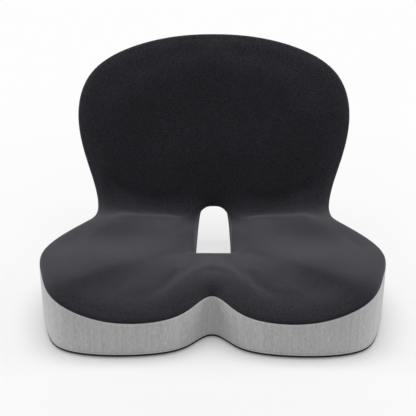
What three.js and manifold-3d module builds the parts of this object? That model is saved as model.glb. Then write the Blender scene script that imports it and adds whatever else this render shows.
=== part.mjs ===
// An ergonomic foam seat cushion for an office chair: a contoured seat with two thigh lobes
// and a raised lumbar back, moulded as one foam block, with a relief slot for the tailbone.
// The foam wears a sewn liner and a zipped cover of separate panels.
// Millimetres, +Z up, the front of the cushion towards -Y, resting on its base at Z = 0.
import * as THREE from "three";
import { mergeVertices } from "three/addons/utils/BufferGeometryUtils.js";
import Module from "manifold-3d";

const wasm = await Module();
wasm.setup();

// ---------------------------------------------------------------- driving dimensions
const OVERALL_WIDTH = 450; // seam to seam at the widest part of the seat
const SEAT_HEIGHT = 60; // height of the seat's reference line above the floor
const SEAT_RUN = 256; // along the reference line, from the front to where the back turns up
const TURN_RUN = 114; // along the reference line, through the turn from the seat into the back
const BACK_RUN = 160; // along the reference line, from the turn up to the top of the back
const LEAN_LOW = 7; // degrees that the back leans just above the seat
const LEAN_TOP = 17; // degrees that the back leans at its top
const LEAN_BLEND = 20; // how far below the end of the turn the back starts to lean more
const BACK_THICKNESS = 62; // through the back, just above the seat
const BACK_THICKNESS_TOP = 36; // through the back, at its top
const HEEL_BLEND = 60; // size of the rounded heel where the base turns up into the rear face

const BAND_DRAFT = 3; // how far the side band slopes inwards on its way down
const BASE_EDGE = 4.5; // radius of the base fabric where it turns up to the side band

const SLOT_WIDTH = 50; // relief slot, at its front
const SLOT_WIDTH_REAR = 50; // relief slot, at the foot of its arch in the back
const SLOT_REACH = 80; // of the slot, forwards from the start of the turn
const SLOT_ARCH = 66; // from the start of the turn up to the arch in the front of the back
const SLOT_FOOT_ARCH = 78; // from the start of the turn up to the arch in the rear face

const COVER = 1.5; // cover fabric with its backing
const LINER = 0.8; // inner liner
const PLY_GAP = 0.3; // between the cover and the liner, and between panels at a seam
const FOAM_GAP = 0.6; // between the liner and the foam

const ZIP_HEIGHT = 122; // of the zip's centre line above the floor, on the rear face
const ZIP_LENGTH = 300; // between the outer ends of the two stops
const ZIP_WINDOW = 20; // height of the gap between the two rear panels along the zip
const ZIP_TAPE = 0.8; // thickness of the zip's woven tape
const CHAIN_WIDTH = 6.4; // across both rows of the closed chain
const CHAIN_HEIGHT = 1.8; // of the coil above the tape
const STOP_LENGTH = 4; // of a stop, along the zip
const SLIDER_LENGTH = 13;
const SLIDER_WIDTH = 10.5;
const SLIDER_WALL = 1.2;
const PULL_LENGTH = 27;
const PULL_WIDTH = 8;
const PULL_THICKNESS = 1.4;
const PULL_PIN = 1.6; // side of the bar that the pull turns on
const RUNNING_GAP = 0.3; // around what slides or turns

const HEEL_SEAM = 22; // height of the seam between the base panel and the rear panel
const LABEL_WIDTH = 22;
const LABEL_LENGTH = 34;
const LABEL_THICKNESS = 0.6;
const LABEL_PLACE = 112; // of the label's centre, to the side of the middle
const LABEL_LIFT = 0.5; // of the label off the rear panel

const COLUMNS_PER_SPAN = 2; // columns of the skin between two outline points

// The outline of the upper seam on its right half, from the front notch round to the top.
// side: from the middle; run: along the reference line; level: of the seam above that line;
// crown and rise: width and height of the soft roll from the seam up to the upper surface.
const half = OVERALL_WIDTH / 2;
const BACK_TURN_END = SEAT_RUN + TURN_RUN;
const SPINE_LENGTH = BACK_TURN_END + BACK_RUN;
const seatRun = (share) => SEAT_RUN * share;
const turnRun = (share) => SEAT_RUN + TURN_RUN * share;
const backRun = (share) => BACK_TURN_END + BACK_RUN * share;
const OUTLINE = [
  { side: 0, run: seatRun(0.25), level: 0, crown: 34, rise: 20 },
  { side: half * 0.08, run: seatRun(0.14), level: -2, crown: 34, rise: 19 },
  { side: half * 0.2, run: seatRun(0.012), level: -11, crown: 40, rise: 19 },
  { side: half * 0.578, run: seatRun(-0.027), level: -14, crown: 48, rise: 20 },
  { side: half * 0.9, run: seatRun(0.039), level: 12, crown: 34, rise: 16 },
  { side: half * 0.96, run: seatRun(0.305), level: 17, crown: 26, rise: 14 },
  { side: half * 1.055, run: seatRun(0.723), level: 2, crown: 26, rise: 15 },
  { side: half * 0.82, run: turnRun(0.035), level: 8, crown: 24, rise: 15 },
  { side: half * 0.693, run: turnRun(0.474), level: 4, crown: 20, rise: 13 },
  { side: half * 0.778, run: turnRun(0.947), level: -12, crown: 20, rise: 12 },
  { side: half * 0.88, run: backRun(0.4375), level: -12, crown: 20, rise: 12 },
  { side: half * 0.805, run: backRun(0.944), level: -11, crown: 20, rise: 12 },
  { side: half * 0.373, run: backRun(1.181), level: -12, crown: 20, rise: 12 },
  { side: 0, run: backRun(1.219), level: -12, crown: 20, rise: 12 },
];

// The outline of the slot on its right half, matched point for point with the outer outline.
// share: of the slot's length, from its front to its arch.
const slotFront = SEAT_RUN - SLOT_REACH;
const slotLength = SLOT_REACH + SLOT_ARCH;
const slotFootLength = SLOT_REACH + SLOT_FOOT_ARCH;
const slotHalf = SLOT_WIDTH / 2;
const slotRear = SLOT_WIDTH_REAR / 2;
const SLOT = [
  { side: 0, share: 0, level: 2, crown: 14, rise: 10 },
  { side: slotHalf * 0.5, share: 0, level: 2, crown: 14, rise: 10 },
  { side: slotHalf * 0.95, share: 0, level: 2, crown: 14, rise: 10 },
  { side: slotHalf, share: 0.01, level: 2, crown: 14, rise: 9 },
  { side: slotHalf, share: 0.09, level: 2, crown: 14, rise: 8 },
  { side: slotHalf, share: 0.22, level: 1, crown: 14, rise: 8 },
  { side: slotHalf, share: 0.38, level: 1, crown: 14, rise: 8 },
  { side: slotHalf, share: 0.54, level: 0, crown: 15, rise: 9 },
  { side: slotHalf, share: 0.68, level: -2, crown: 17, rise: 10 },
  { side: slotRear, share: 0.81, level: -6, crown: 20, rise: 12 },
  { side: slotRear * 0.9, share: 0.91, level: -10, crown: 24, rise: 14 },
  { side: slotRear * 0.66, share: 0.97, level: -12, crown: 28, rise: 16 },
  { side: slotRear * 0.34, share: 1, level: -14, crown: 30, rise: 18 },
  { side: 0, share: 1, level: -14, crown: 30, rise: 18 },
].map((p) => ({
  ...p,
  run: slotFront + slotLength * p.share,
  foot: slotFront + slotFootLength * p.share,
}));

// Swell of the field between the outer roll and the slot roll, one value for each outline
// point: proud on the seat, hollow in the middle of the back.
const SWELL = [0, 1, 3, 4, 0, -4, -5, -5, -4, -4, -5, -6, -6, -6];

// ---------------------------------------------------------------- small functions
const rad = THREE.MathUtils.degToRad;
const clamp01 = (x) => Math.min(1, Math.max(0, x));
const smooth3 = (x) => clamp01(x) ** 2 * (3 - 2 * clamp01(x));
const smooth5 = (x) => clamp01(x) ** 3 * (clamp01(x) * (6 * clamp01(x) - 15) + 10);
const mix = (a, b, t) => a + (b - a) * t;

function softMin(a, b, size) {
  const h = Math.max(size - Math.abs(a - b), 0) / size;
  return Math.min(a, b) - (h * h * size) / 4;
}

// ---------------------------------------------------------------- the reference line
// The cushion's side view follows one line: level along the seat, then turning up into the
// back. Its heading is a formula of the distance along it, and its place is the sum of steps.
const LINE_START = -80;
const LINE_STEP = 0.5;
const LINE_COUNT = Math.round((SPINE_LENGTH + 120 - LINE_START) / LINE_STEP) + 1;

function headingAt(run) {
  const turn = smooth5((run - SEAT_RUN) / (BACK_TURN_END - SEAT_RUN));
  const leanStart = BACK_TURN_END - LEAN_BLEND;
  const lean = smooth3((run - leanStart) / (SPINE_LENGTH - leanStart));
  return rad(90 - LEAN_LOW) * turn - rad(LEAN_TOP - LEAN_LOW) * lean;
}

const linePlaces = [new THREE.Vector2(LINE_START, SEAT_HEIGHT)];
for (let i = 1; i < LINE_COUNT; i++) {
  const heading = headingAt(LINE_START + (i - 0.5) * LINE_STEP);
  const step = new THREE.Vector2(Math.cos(heading), Math.sin(heading)).multiplyScalar(LINE_STEP);
  linePlaces.push(linePlaces[i - 1].clone().add(step));
}

// Place (y, z) of the reference line at a distance along it.
function placeAt(run) {
  const at = (run - LINE_START) / LINE_STEP;
  const i = Math.min(LINE_COUNT - 2, Math.max(0, Math.floor(at)));
  return linePlaces[i].clone().lerp(linePlaces[i + 1], at - i);
}

// Thickness below the reference line: down to the floor under the seat, to a straight rear
// face behind the turn, and tapering up the back.
const turnHeading = headingAt(BACK_TURN_END);
const rearNormal = new THREE.Vector2(-Math.sin(turnHeading), Math.cos(turnHeading));
const rearPlace = placeAt(BACK_TURN_END).addScaledVector(rearNormal, -BACK_THICKNESS);

// Distances from the reference line down to the floor and back to the straight rear face.
function wallDistances(run) {
  const heading = headingAt(run);
  const place = placeAt(run);
  const far = 1e4;
  const down = Math.cos(heading);
  const facing = Math.cos(turnHeading - heading);
  const toFloor = down > 0.02 ? place.y / down : far;
  const toRear = facing > 0.02 ? place.clone().sub(rearPlace).dot(rearNormal) / facing : far;
  return [toFloor, toRear];
}

function thicknessAt(run) {
  if (run < BACK_TURN_END) return softMin(...wallDistances(run), HEEL_BLEND);
  const up = smooth3((run - BACK_TURN_END) / (SPINE_LENGTH - BACK_TURN_END));
  return mix(BACK_THICKNESS, BACK_THICKNESS_TOP, up);
}

// A point at a side distance and run, raised by height off the reference line.
function upperPoint(side, run, height) {
  const place = placeAt(run);
  const heading = headingAt(run);
  return new THREE.Vector3(
    side,
    place.x - height * Math.sin(heading),
    place.y + height * Math.cos(heading),
  );
}

// A point of the underside or the rear face, raised by lift into the cushion.
const lowerPoint = (side, run, lift) => upperPoint(side, run, lift - thicknessAt(run));

// ---------------------------------------------------------------- outlines
// Uniform cubic B-spline through the symmetric closed polygon of a half outline, evaluated
// COLUMNS_PER_SPAN times between neighbouring points, right half first, then mirrored.
function outlineColumns(points) {
  const last = points.length - 1;
  const mirrored = points.slice(1, last).reverse().map((p) => ({ ...p, side: -p.side }));
  const closed = [...points, ...mirrored];
  const keys = Object.keys(points[0]);
  const columns = [];
  for (let k = 0; k < closed.length * COLUMNS_PER_SPAN; k++) {
    const span = Math.floor(k / COLUMNS_PER_SPAN);
    const t = k / COLUMNS_PER_SPAN - span;
    const weights = [
      (1 - t) ** 3 / 6,
      (3 * t ** 3 - 6 * t ** 2 + 4) / 6,
      (-3 * t ** 3 + 3 * t ** 2 + 3 * t + 1) / 6,
      t ** 3 / 6,
    ];
    const column = {};
    for (const key of keys) {
      column[key] = weights.reduce((sum, w, i) => {
        return sum + w * closed[(span + i - 1 + closed.length) % closed.length][key];
      }, 0);
    }
    columns.push(column);
  }
  return columns;
}

// Unit normals of a closed outline in its (side, run) plane, pointing to its inside.
function inwardNormals(columns) {
  return columns.map((c, i) => {
    const before = columns[(i - 1 + columns.length) % columns.length];
    const after = columns[(i + 1) % columns.length];
    return new THREE.Vector2(before.run - after.run, after.side - before.side).normalize();
  });
}

const outer = outlineColumns(OUTLINE.map((p, i) => ({ ...p, swell: SWELL[i] })));
const slot = outlineColumns(SLOT);
const outerInward = inwardNormals(outer);
const slotInward = inwardNormals(slot);
const COLUMNS = outer.length;

const insetOuter = (i, d) => [
  outer[i].side + outerInward[i].x * d,
  outer[i].run + outerInward[i].y * d,
];
const outsetSlot = (i, d) => [
  slot[i].side - slotInward[i].x * d,
  slot[i].run - slotInward[i].y * d,
];

// ---------------------------------------------------------------- the skin
// The outside of the cushion is one closed surface like a ring doughnut's: columns run round
// the perimeter, and rings run from the base edge up the side band, over the crown and the
// field, down into the slot, and back under the base. Each ring is a function of the column.
const rings = [];
const ringNumber = {};

function addRing(place, name) {
  if (name) ringNumber[name] = rings.length;
  rings.push(outer.map((_, i) => place(i)));
}

const bandTop = (i) => upperPoint(outer[i].side, outer[i].run, outer[i].level);
const bandFoot = (i) => lowerPoint(...insetOuter(i, BAND_DRAFT), BASE_EDGE);

// A point a given distance from one place towards another.
function stepTowards(from, to, distance) {
  return from.clone().addScaledVector(to.clone().sub(from).normalize(), distance);
}

function crownPoint(angle) {
  return (i) => {
    const inset = outer[i].crown * (1 - Math.cos(angle));
    return upperPoint(...insetOuter(i, inset), outer[i].level + outer[i].rise * Math.sin(angle));
  };
}

function slotRollPoint(angle) {
  return (i) => {
    const outset = slot[i].crown * (1 - Math.cos(angle));
    return upperPoint(...outsetSlot(i, outset), slot[i].level + slot[i].rise * Math.sin(angle));
  };
}

function fieldPoint(t) {
  return (i) => {
    const [sideA, runA] = insetOuter(i, outer[i].crown);
    const [sideB, runB] = outsetSlot(i, slot[i].crown);
    const heightA = outer[i].level + outer[i].rise;
    const heightB = slot[i].level + slot[i].rise;
    const swell = outer[i].swell * Math.sin(Math.PI * t) ** 2;
    const height = mix(heightA, heightB, smooth3(t)) + swell;
    return upperPoint(mix(sideA, sideB, t), mix(runA, runB, t), height);
  };
}

const slotTop = (i) => slotRollPoint(0)(i);
const slotFoot = (i) => lowerPoint(slot[i].side, slot[i].foot, 0);

// The run of the heel, where the floor and the rear face are equally far, found by halving.
function findRun(isBelow) {
  let low = SEAT_RUN;
  let high = SPINE_LENGTH;
  while (high - low > 1e-4) {
    const middle = (low + high) / 2;
    if (isBelow(middle)) low = middle;
    else high = middle;
  }
  return low;
}
const heelRun = findRun((run) => wallDistances(run)[0] < wallDistances(run)[1]);

// Where the rings of the underside lie along a column, as distances from the slot: three
// close together where it crosses the heel, then one half way on and one at the outline.
// They start further from the slot than the plies are deep, so that no ply folds over.
const FIRST_RING = 16;
const LAST_SHARE = 0.88;
function underSteps(length, runA, runB) {
  const share = runB > heelRun ? (heelRun - runA) / (runB - runA) : LAST_SHARE;
  const middle = Math.min(LAST_SHARE * length, Math.max(2 * FIRST_RING, share * length));
  const width = Math.min(0.08 * length, middle - FIRST_RING);
  const after = middle + width;
  return [middle - width, middle, after, (after + length) / 2, length];
}

function underPoint(step) {
  return (i) => {
    const near = new THREE.Vector2(slot[i].side, slot[i].foot);
    const far = new THREE.Vector2(...insetOuter(i, BAND_DRAFT + BASE_EDGE));
    const length = near.distanceTo(far);
    const place = near.clone().lerp(far, underSteps(length, near.y, far.y)[step] / length);
    return lowerPoint(place.x, place.y, 0);
  };
}

function baseEdgePoint(angle) {
  return (i) => {
    const inset = BAND_DRAFT + BASE_EDGE * (1 - Math.sin(angle));
    return lowerPoint(...insetOuter(i, inset), BASE_EDGE * (1 - Math.cos(angle)));
  };
}

// Two rings a ply gap apart where two panels meet, so that each panel ends at its own ring.
addRing(bandFoot, "base_end");
addRing((i) => stepTowards(bandFoot(i), bandTop(i), PLY_GAP), "band_start");
addRing((i) => stepTowards(bandTop(i), bandFoot(i), PLY_GAP), "band_end");
addRing(bandTop, "top_start");
for (const angle of [30, 60, 90]) addRing(crownPoint(rad(angle)));
for (const t of [0.25, 0.5, 0.75]) addRing(fieldPoint(t));
for (const angle of [90, 50]) addRing(slotRollPoint(rad(angle)));
addRing(slotTop, "top_end");
addRing((i) => stepTowards(slotTop(i), slotFoot(i), PLY_GAP), "slot_start");
addRing((i) => stepTowards(slotFoot(i), slotTop(i), PLY_GAP), "slot_end");
addRing(slotFoot, "base_start");
for (const step of [0, 1, 2, 3, 4]) addRing(underPoint(step));
addRing(baseEdgePoint(rad(45)));

// Outward directions at every ring and column, from the four neighbours. Where the skin turns
// a corner they are longer than 1, so that a ply keeps its thickness round it.
const RINGS = rings.length;
const MOST_STRETCH = 1.5;
const ringAt = (r) => rings[(r + RINGS) % RINGS];
const columnAt = (ring, i) => ring[(i + COLUMNS) % COLUMNS];

function outwardAt(r, i) {
  const centre = rings[r][i];
  const directions = [
    columnAt(rings[r], i + 1),
    ringAt(r + 1)[i],
    columnAt(rings[r], i - 1),
    ringAt(r - 1)[i],
  ].map((p) => p.clone().sub(centre).normalize());
  const faces = directions.map((d, k) => d.clone().cross(directions[(k + 1) % 4]).normalize());
  const outward = faces.reduce((sum, face) => sum.add(face), new THREE.Vector3()).normalize();
  const facing = faces.reduce((sum, face) => sum + face.dot(outward), 0) / faces.length;
  return outward.multiplyScalar(Math.min(MOST_STRETCH, 1 / facing));
}

const outwards = rings.map((ring, r) => ring.map((_, i) => outwardAt(r, i)));
// The two rings of a seam share one direction, so the plies on both sides meet in a mitre.
outwards[ringNumber.band_start] = outwards[ringNumber.base_end];
outwards[ringNumber.band_end] = outwards[ringNumber.top_start];
outwards[ringNumber.slot_start] = outwards[ringNumber.top_end];
outwards[ringNumber.slot_end] = outwards[ringNumber.base_start];

function skinPoint(r, i, depth) {
  return rings[r % RINGS][i].clone().addScaledVector(outwards[r % RINGS][i], -depth);
}

// ---------------------------------------------------------------- closed bodies on the skin
function geometryFrom(points, triangles) {
  const geometry = new THREE.BufferGeometry();
  geometry.setAttribute(
    "position",
    new THREE.Float32BufferAttribute(points.flatMap((p) => [p.x, p.y, p.z]), 3),
  );
  geometry.setIndex(triangles);
  return geometry;
}

// The two triangles of a four-sided patch a, b, c, d, split one way on the right half of the
// cushion and the other way on its left half, so that both halves are alike.
function splitPatch(triangles, i, [a, b, c, d]) {
  if (i < COLUMNS / 2) triangles.push(a, b, c, a, c, d);
  else triangles.push(a, b, d, b, c, d);
}

// The whole skin at one depth: a closed ring-shaped body, like the foam.
function closedSkin(depth) {
  const points = [];
  const triangles = [];
  for (let r = 0; r < RINGS; r++) {
    for (let i = 0; i < COLUMNS; i++) points.push(skinPoint(r, i, depth));
  }
  const at = (r, i) => (r % RINGS) * COLUMNS + (i % COLUMNS);
  for (let r = 0; r < RINGS; r++) {
    for (let i = 0; i < COLUMNS; i++) {
      splitPatch(triangles, i, [at(r, i), at(r, i + 1), at(r + 1, i + 1), at(r + 1, i)]);
    }
  }
  return geometryFrom(points, triangles);
}

// A panel of the skin from one ring to another, depth below the outside and so thick.
function panel(fromName, toName, depth, thickness) {
  const from = ringNumber[fromName];
  const to = ringNumber[toName] + (ringNumber[toName] < from ? RINGS : 0);
  const rows = to - from + 1;
  const last = rows - 1;
  const points = [];
  const triangles = [];
  for (const d of [depth, depth + thickness]) {
    for (let r = from; r <= to; r++) {
      for (let i = 0; i < COLUMNS; i++) points.push(skinPoint(r, i, d));
    }
  }
  const at = (side, row, i) => (side * rows + row) * COLUMNS + (i % COLUMNS);
  const patch = (row, i, side) => {
    return [at(side, row, i), at(side, row, i + 1), at(side, row + 1, i + 1), at(side, row + 1, i)];
  };
  for (let i = 0; i < COLUMNS; i++) {
    for (let row = 0; row < last; row++) {
      splitPatch(triangles, i, patch(row, i, 0));
      const inner = [];
      splitPatch(inner, i, patch(row, i, 1));
      triangles.push(...inner.reverse());
    }
    splitPatch(triangles, i, [at(1, 0, i), at(1, 0, i + 1), at(0, 0, i + 1), at(0, 0, i)]);
    splitPatch(triangles, i, [at(0, last, i), at(0, last, i + 1), at(1, last, i + 1), at(1, last, i)]);
  }
  return geometryFrom(points, triangles);
}

// ---------------------------------------------------------------- joining and cutting
function solid(geometry, matrix) {
  const plain = geometry.index ? geometry.toNonIndexed() : geometry.clone();
  for (const name of ["normal", "uv"]) plain.deleteAttribute(name);
  if (matrix) plain.applyMatrix4(matrix);
  const merged = mergeVertices(plain, 1e-3);
  return new wasm.Manifold(new wasm.Mesh({
    numProp: 3,
    vertProperties: new Float32Array(merged.attributes.position.array),
    triVerts: new Uint32Array(merged.index.array),
  }));
}

function geometryOf(manifold) {
  const mesh = manifold.getMesh();
  const geometry = new THREE.BufferGeometry();
  const places = new Float32Array(mesh.numVert * 3);
  for (let i = 0; i < mesh.numVert; i++) {
    for (let k = 0; k < 3; k++) places[3 * i + k] = mesh.vertProperties[mesh.numProp * i + k];
  }
  geometry.setAttribute("position", new THREE.BufferAttribute(places, 3));
  geometry.setIndex(new THREE.BufferAttribute(new Uint32Array(mesh.triVerts), 1));
  return geometry;
}

const box = (x, y, z, at, matrix) => {
  const place = new THREE.Matrix4().makeTranslation(at[0], at[1], at[2]);
  if (matrix) place.premultiply(matrix);
  return solid(new THREE.BoxGeometry(x, y, z), place);
};

// ---------------------------------------------------------------- materials
const fabric = (color, roughness = 0.95) => {
  return new THREE.MeshStandardMaterial({ color, roughness, metalness: 0 });
};
const velour = () => fabric(0x2a2b30);
const heather = () => fabric(0xa9aaad);
const knit = () => fabric(0xd9d8d2);
const gripCloth = () => fabric(0x1c1d20);
const nylon = () => fabric(0x141518, 0.6);
const metal = () => new THREE.MeshStandardMaterial({ color: 0x2c2d30, roughness: 0.35, metalness: 0.9 });

const cushion = new THREE.Group();

function addPart(name, geometry, material) {
  const mesh = new THREE.Mesh(geometry, material);
  mesh.name = name;
  cushion.add(mesh);
  return mesh;
}

// ---------------------------------------------------------------- foam, liner and cover
const linerDepth = COVER + PLY_GAP;
const foamDepth = linerDepth + LINER + FOAM_GAP;

addPart("foam_core", closedSkin(foamDepth), fabric(0xe9e2cf, 1));
addPart("liner_upper", panel("band_start", "slot_end", linerDepth, LINER), knit());
addPart("liner_lower", panel("base_start", "base_end", linerDepth, LINER), knit());
addPart("top_panel", panel("top_start", "top_end", 0, COVER), velour());
addPart("side_band", panel("band_start", "band_end", 0, COVER), heather());
addPart("slot_lining", panel("slot_start", "slot_end", 0, COVER), velour());

// The lower sheet is cut into the base panel and the two rear panels either side of the zip.
const lowerSheet = solid(panel("base_start", "base_end", 0, COVER));

// The zip's own frame on the rear face: X along the zip, Y up the face, Z out of the cushion.
const zipRun = findRun((run) => lowerPoint(0, run, 0).z < ZIP_HEIGHT);
const zipHeading = headingAt(zipRun);
const zipFrame = new THREE.Matrix4().makeBasis(
  new THREE.Vector3(-1, 0, 0),
  new THREE.Vector3(0, Math.cos(zipHeading), Math.sin(zipHeading)),
  new THREE.Vector3(0, Math.sin(zipHeading), -Math.cos(zipHeading)),
).setPosition(lowerPoint(0, zipRun, 0));

const REACH = 1200; // longer than the cushion in every direction
const windowBox = box(ZIP_LENGTH + 2 * PLY_GAP, ZIP_WINDOW, 40, [0, 0, 0], zipFrame);
const heelTop = HEEL_SEAM + PLY_GAP;
const aboveHeel = box(REACH, REACH, REACH, [0, 0, heelTop + REACH / 2]);
const belowHeel = box(REACH, REACH, REACH, [0, 0, HEEL_SEAM - REACH / 2]);
const aboveZip = box(REACH, REACH, REACH, [0, (PLY_GAP + REACH) / 2, 0], zipFrame);
const belowZip = box(REACH, REACH, REACH, [0, -(PLY_GAP + REACH) / 2, 0], zipFrame);

addPart("base_panel", geometryOf(lowerSheet.intersect(belowHeel)), gripCloth());
const rearSheet = lowerSheet.intersect(aboveHeel).subtract(windowBox);
addPart("back_panel_upper", geometryOf(rearSheet.intersect(aboveZip)), velour());
addPart("back_panel_lower", geometryOf(rearSheet.intersect(belowZip)), velour());

// ---------------------------------------------------------------- zip
const zip = new THREE.Group();
zip.applyMatrix4(zipFrame);
cushion.add(zip);

function addZipPart(name, geometry, material, parent = zip) {
  const mesh = new THREE.Mesh(geometry, material);
  mesh.name = name;
  parent.add(mesh);
  return mesh;
}

const tapeTop = -PLY_GAP; // the tape lies just under the outside of the rear panels
const tapeHeight = (ZIP_WINDOW - 3 * PLY_GAP) / 2;
const tapeMiddle = (tapeHeight + PLY_GAP) / 2;
const rowWidth = (CHAIN_WIDTH - PLY_GAP) / 2;
const rowMiddle = (rowWidth + PLY_GAP) / 2;
const chainLength = ZIP_LENGTH - 2 * STOP_LENGTH - 4 * PLY_GAP;
const chainFoot = tapeTop + PLY_GAP;
const chainTop = chainFoot + CHAIN_HEIGHT;

// One row of the coil: a half-round bar, flat towards the tape.
function coilRow(sign) {
  const section = new THREE.Shape();
  section.moveTo(-rowWidth / 2, 0);
  section.lineTo(rowWidth / 2, 0);
  section.lineTo(rowWidth / 2, CHAIN_HEIGHT * 0.6);
  section.lineTo(rowWidth / 4, CHAIN_HEIGHT);
  section.lineTo(-rowWidth / 4, CHAIN_HEIGHT);
  section.lineTo(-rowWidth / 2, CHAIN_HEIGHT * 0.6);
  section.closePath();
  const bar = new THREE.ExtrudeGeometry(section, { depth: chainLength, bevelEnabled: false });
  bar.rotateY(Math.PI / 2).rotateX(Math.PI / 2);
  bar.translate(-chainLength / 2, sign * rowMiddle, chainFoot);
  return bar;
}

for (const [side, sign] of [["upper", 1], ["lower", -1]]) {
  const tape = new THREE.BoxGeometry(ZIP_LENGTH, tapeHeight, ZIP_TAPE);
  tape.translate(0, sign * tapeMiddle, tapeTop - ZIP_TAPE / 2);
  addZipPart("zip_tape_" + side, tape, nylon());
  addZipPart("zip_chain_" + side, coilRow(sign), nylon());
}

for (const [side, sign] of [["closed", -1], ["open", 1]]) {
  const stop = new THREE.BoxGeometry(STOP_LENGTH, CHAIN_WIDTH, CHAIN_HEIGHT);
  stop.translate(sign * (ZIP_LENGTH / 2 - PLY_GAP - STOP_LENGTH / 2), 0, chainFoot + CHAIN_HEIGHT / 2);
  addZipPart("zip_stop_" + side, stop, metal());
}

// The slider: a plate over the chain with a flange down each side and two ears that hold the
// pull's bar. It rests against the stop at the closed end.
const plateFoot = chainTop + RUNNING_GAP;
const plateTop = plateFoot + SLIDER_WALL;
const flangeFoot = chainFoot + RUNNING_GAP;
const earHeight = PULL_PIN * Math.SQRT2 + RUNNING_GAP + SLIDER_WALL;
const earWall = 1.4;
const earSpan = PULL_WIDTH - 2.6; // between the ears' inner faces
const barHeight = plateTop + RUNNING_GAP + PULL_PIN * Math.SQRT1_2; // clears its corners

function sliderBody() {
  let body = box(SLIDER_LENGTH, SLIDER_WIDTH, SLIDER_WALL, [0, 0, plateFoot + SLIDER_WALL / 2]);
  const flangeHeight = plateTop - flangeFoot;
  for (const sign of [-1, 1]) {
    const flangeMiddle = sign * (SLIDER_WIDTH - SLIDER_WALL) / 2;
    const flange = [0, flangeMiddle, flangeFoot + flangeHeight / 2];
    body = body.add(box(SLIDER_LENGTH, SLIDER_WALL, flangeHeight, flange));
    const ear = [0, sign * (earSpan + earWall) / 2, plateTop + earHeight / 2 - 0.1];
    body = body.add(box(4.4, earWall, earHeight + 0.2, ear));
  }
  return geometryOf(body);
}

// The pull: a tab with a bar across its root that turns between the slider's ears.
function pullBody() {
  const bar = box(PULL_PIN, earSpan - 2 * RUNNING_GAP, PULL_PIN, [0, 0, 0]);
  const neckLength = 5;
  const neck = box(neckLength, earSpan - 2 * RUNNING_GAP, PULL_THICKNESS, [neckLength / 2, 0, 0]);
  const tab = new THREE.Shape();
  const w = PULL_WIDTH / 2;
  const start = neckLength - 0.5;
  tab.moveTo(start, -w * 0.55);
  tab.lineTo(PULL_LENGTH * 0.45, -w);
  tab.lineTo(PULL_LENGTH - w, -w);
  tab.absarc(PULL_LENGTH - w, 0, w, -Math.PI / 2, Math.PI / 2, false);
  tab.lineTo(PULL_LENGTH * 0.45, w);
  tab.lineTo(start, w * 0.55);
  tab.closePath();
  const plate = new THREE.ExtrudeGeometry(tab, {
    depth: PULL_THICKNESS,
    bevelEnabled: false,
    curveSegments: 8,
  });
  plate.translate(0, 0, -PULL_THICKNESS / 2);
  return geometryOf(bar.add(neck).add(solid(plate)));
}

const slider = new THREE.Group();
slider.position.set(-(ZIP_LENGTH / 2 - PLY_GAP - STOP_LENGTH - RUNNING_GAP - SLIDER_LENGTH / 2), 0, 0);
zip.add(slider);
addZipPart("zip_slider", sliderBody(), metal(), slider);

const pull = new THREE.Group();
pull.position.set(0, 0, barHeight);
slider.add(pull);
addZipPart("zip_pull", pullBody(), metal(), pull);

// ---------------------------------------------------------------- care label
// A blank label sewn in at the lower edge of the zip's gap, lying down over the rear panel.
const label = new THREE.BoxGeometry(LABEL_WIDTH, LABEL_LENGTH, LABEL_THICKNESS);
label.translate(
  LABEL_PLACE,
  -(ZIP_WINDOW / 2 + PLY_GAP + LABEL_LENGTH / 2),
  LABEL_LIFT + LABEL_THICKNESS / 2,
);
addZipPart("care_label", label, fabric(0xe4e3df));

// ---------------------------------------------------------------- the part's own frame
// The origin stands under the middle of the cushion, on the floor.
cushion.updateMatrixWorld(true);
const extent = new THREE.Box3().setFromObject(cushion, true);
cushion.position.set(0, -(extent.min.y + extent.max.y) / 2, -extent.min.z);

export default cushion;
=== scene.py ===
"""A contoured foam seat cushion with a low back: its cover, liner, foam and zip.

The shapes are worked out in the cushion's own contour, in millimetres, and every mesh is put in
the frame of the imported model, in metres: +Z up, the front towards -Y, the floor at Z = 0.
"""
import math
from functools import lru_cache

import bmesh
import bpy
import numpy as np
from bpy.props import FloatProperty, FloatVectorProperty, IntProperty, PointerProperty
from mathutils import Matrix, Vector


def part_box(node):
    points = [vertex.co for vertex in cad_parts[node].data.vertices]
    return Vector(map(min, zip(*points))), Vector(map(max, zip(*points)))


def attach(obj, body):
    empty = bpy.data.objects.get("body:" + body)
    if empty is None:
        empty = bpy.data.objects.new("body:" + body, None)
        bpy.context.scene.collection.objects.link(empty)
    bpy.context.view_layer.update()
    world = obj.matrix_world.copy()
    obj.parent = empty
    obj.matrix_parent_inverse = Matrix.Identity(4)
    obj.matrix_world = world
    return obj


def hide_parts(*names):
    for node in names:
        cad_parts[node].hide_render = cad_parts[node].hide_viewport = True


bl_info = {
    "name": "Contoured Seat Cushion",
    "version": (1, 0, 0),
    "blender": (4, 5, 0),
    "location": "3D View > Sidebar > Cushion",
    "description": "Builds a zipped foam seat cushion around its packed frame",
    "category": "Add Mesh",
}

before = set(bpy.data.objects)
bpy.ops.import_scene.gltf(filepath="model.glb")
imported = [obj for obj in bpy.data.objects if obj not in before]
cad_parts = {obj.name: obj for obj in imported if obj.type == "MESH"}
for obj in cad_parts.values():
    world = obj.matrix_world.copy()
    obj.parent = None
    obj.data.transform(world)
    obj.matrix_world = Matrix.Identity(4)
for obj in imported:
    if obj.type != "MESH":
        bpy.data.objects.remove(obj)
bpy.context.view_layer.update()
MM = 0.001

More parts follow.
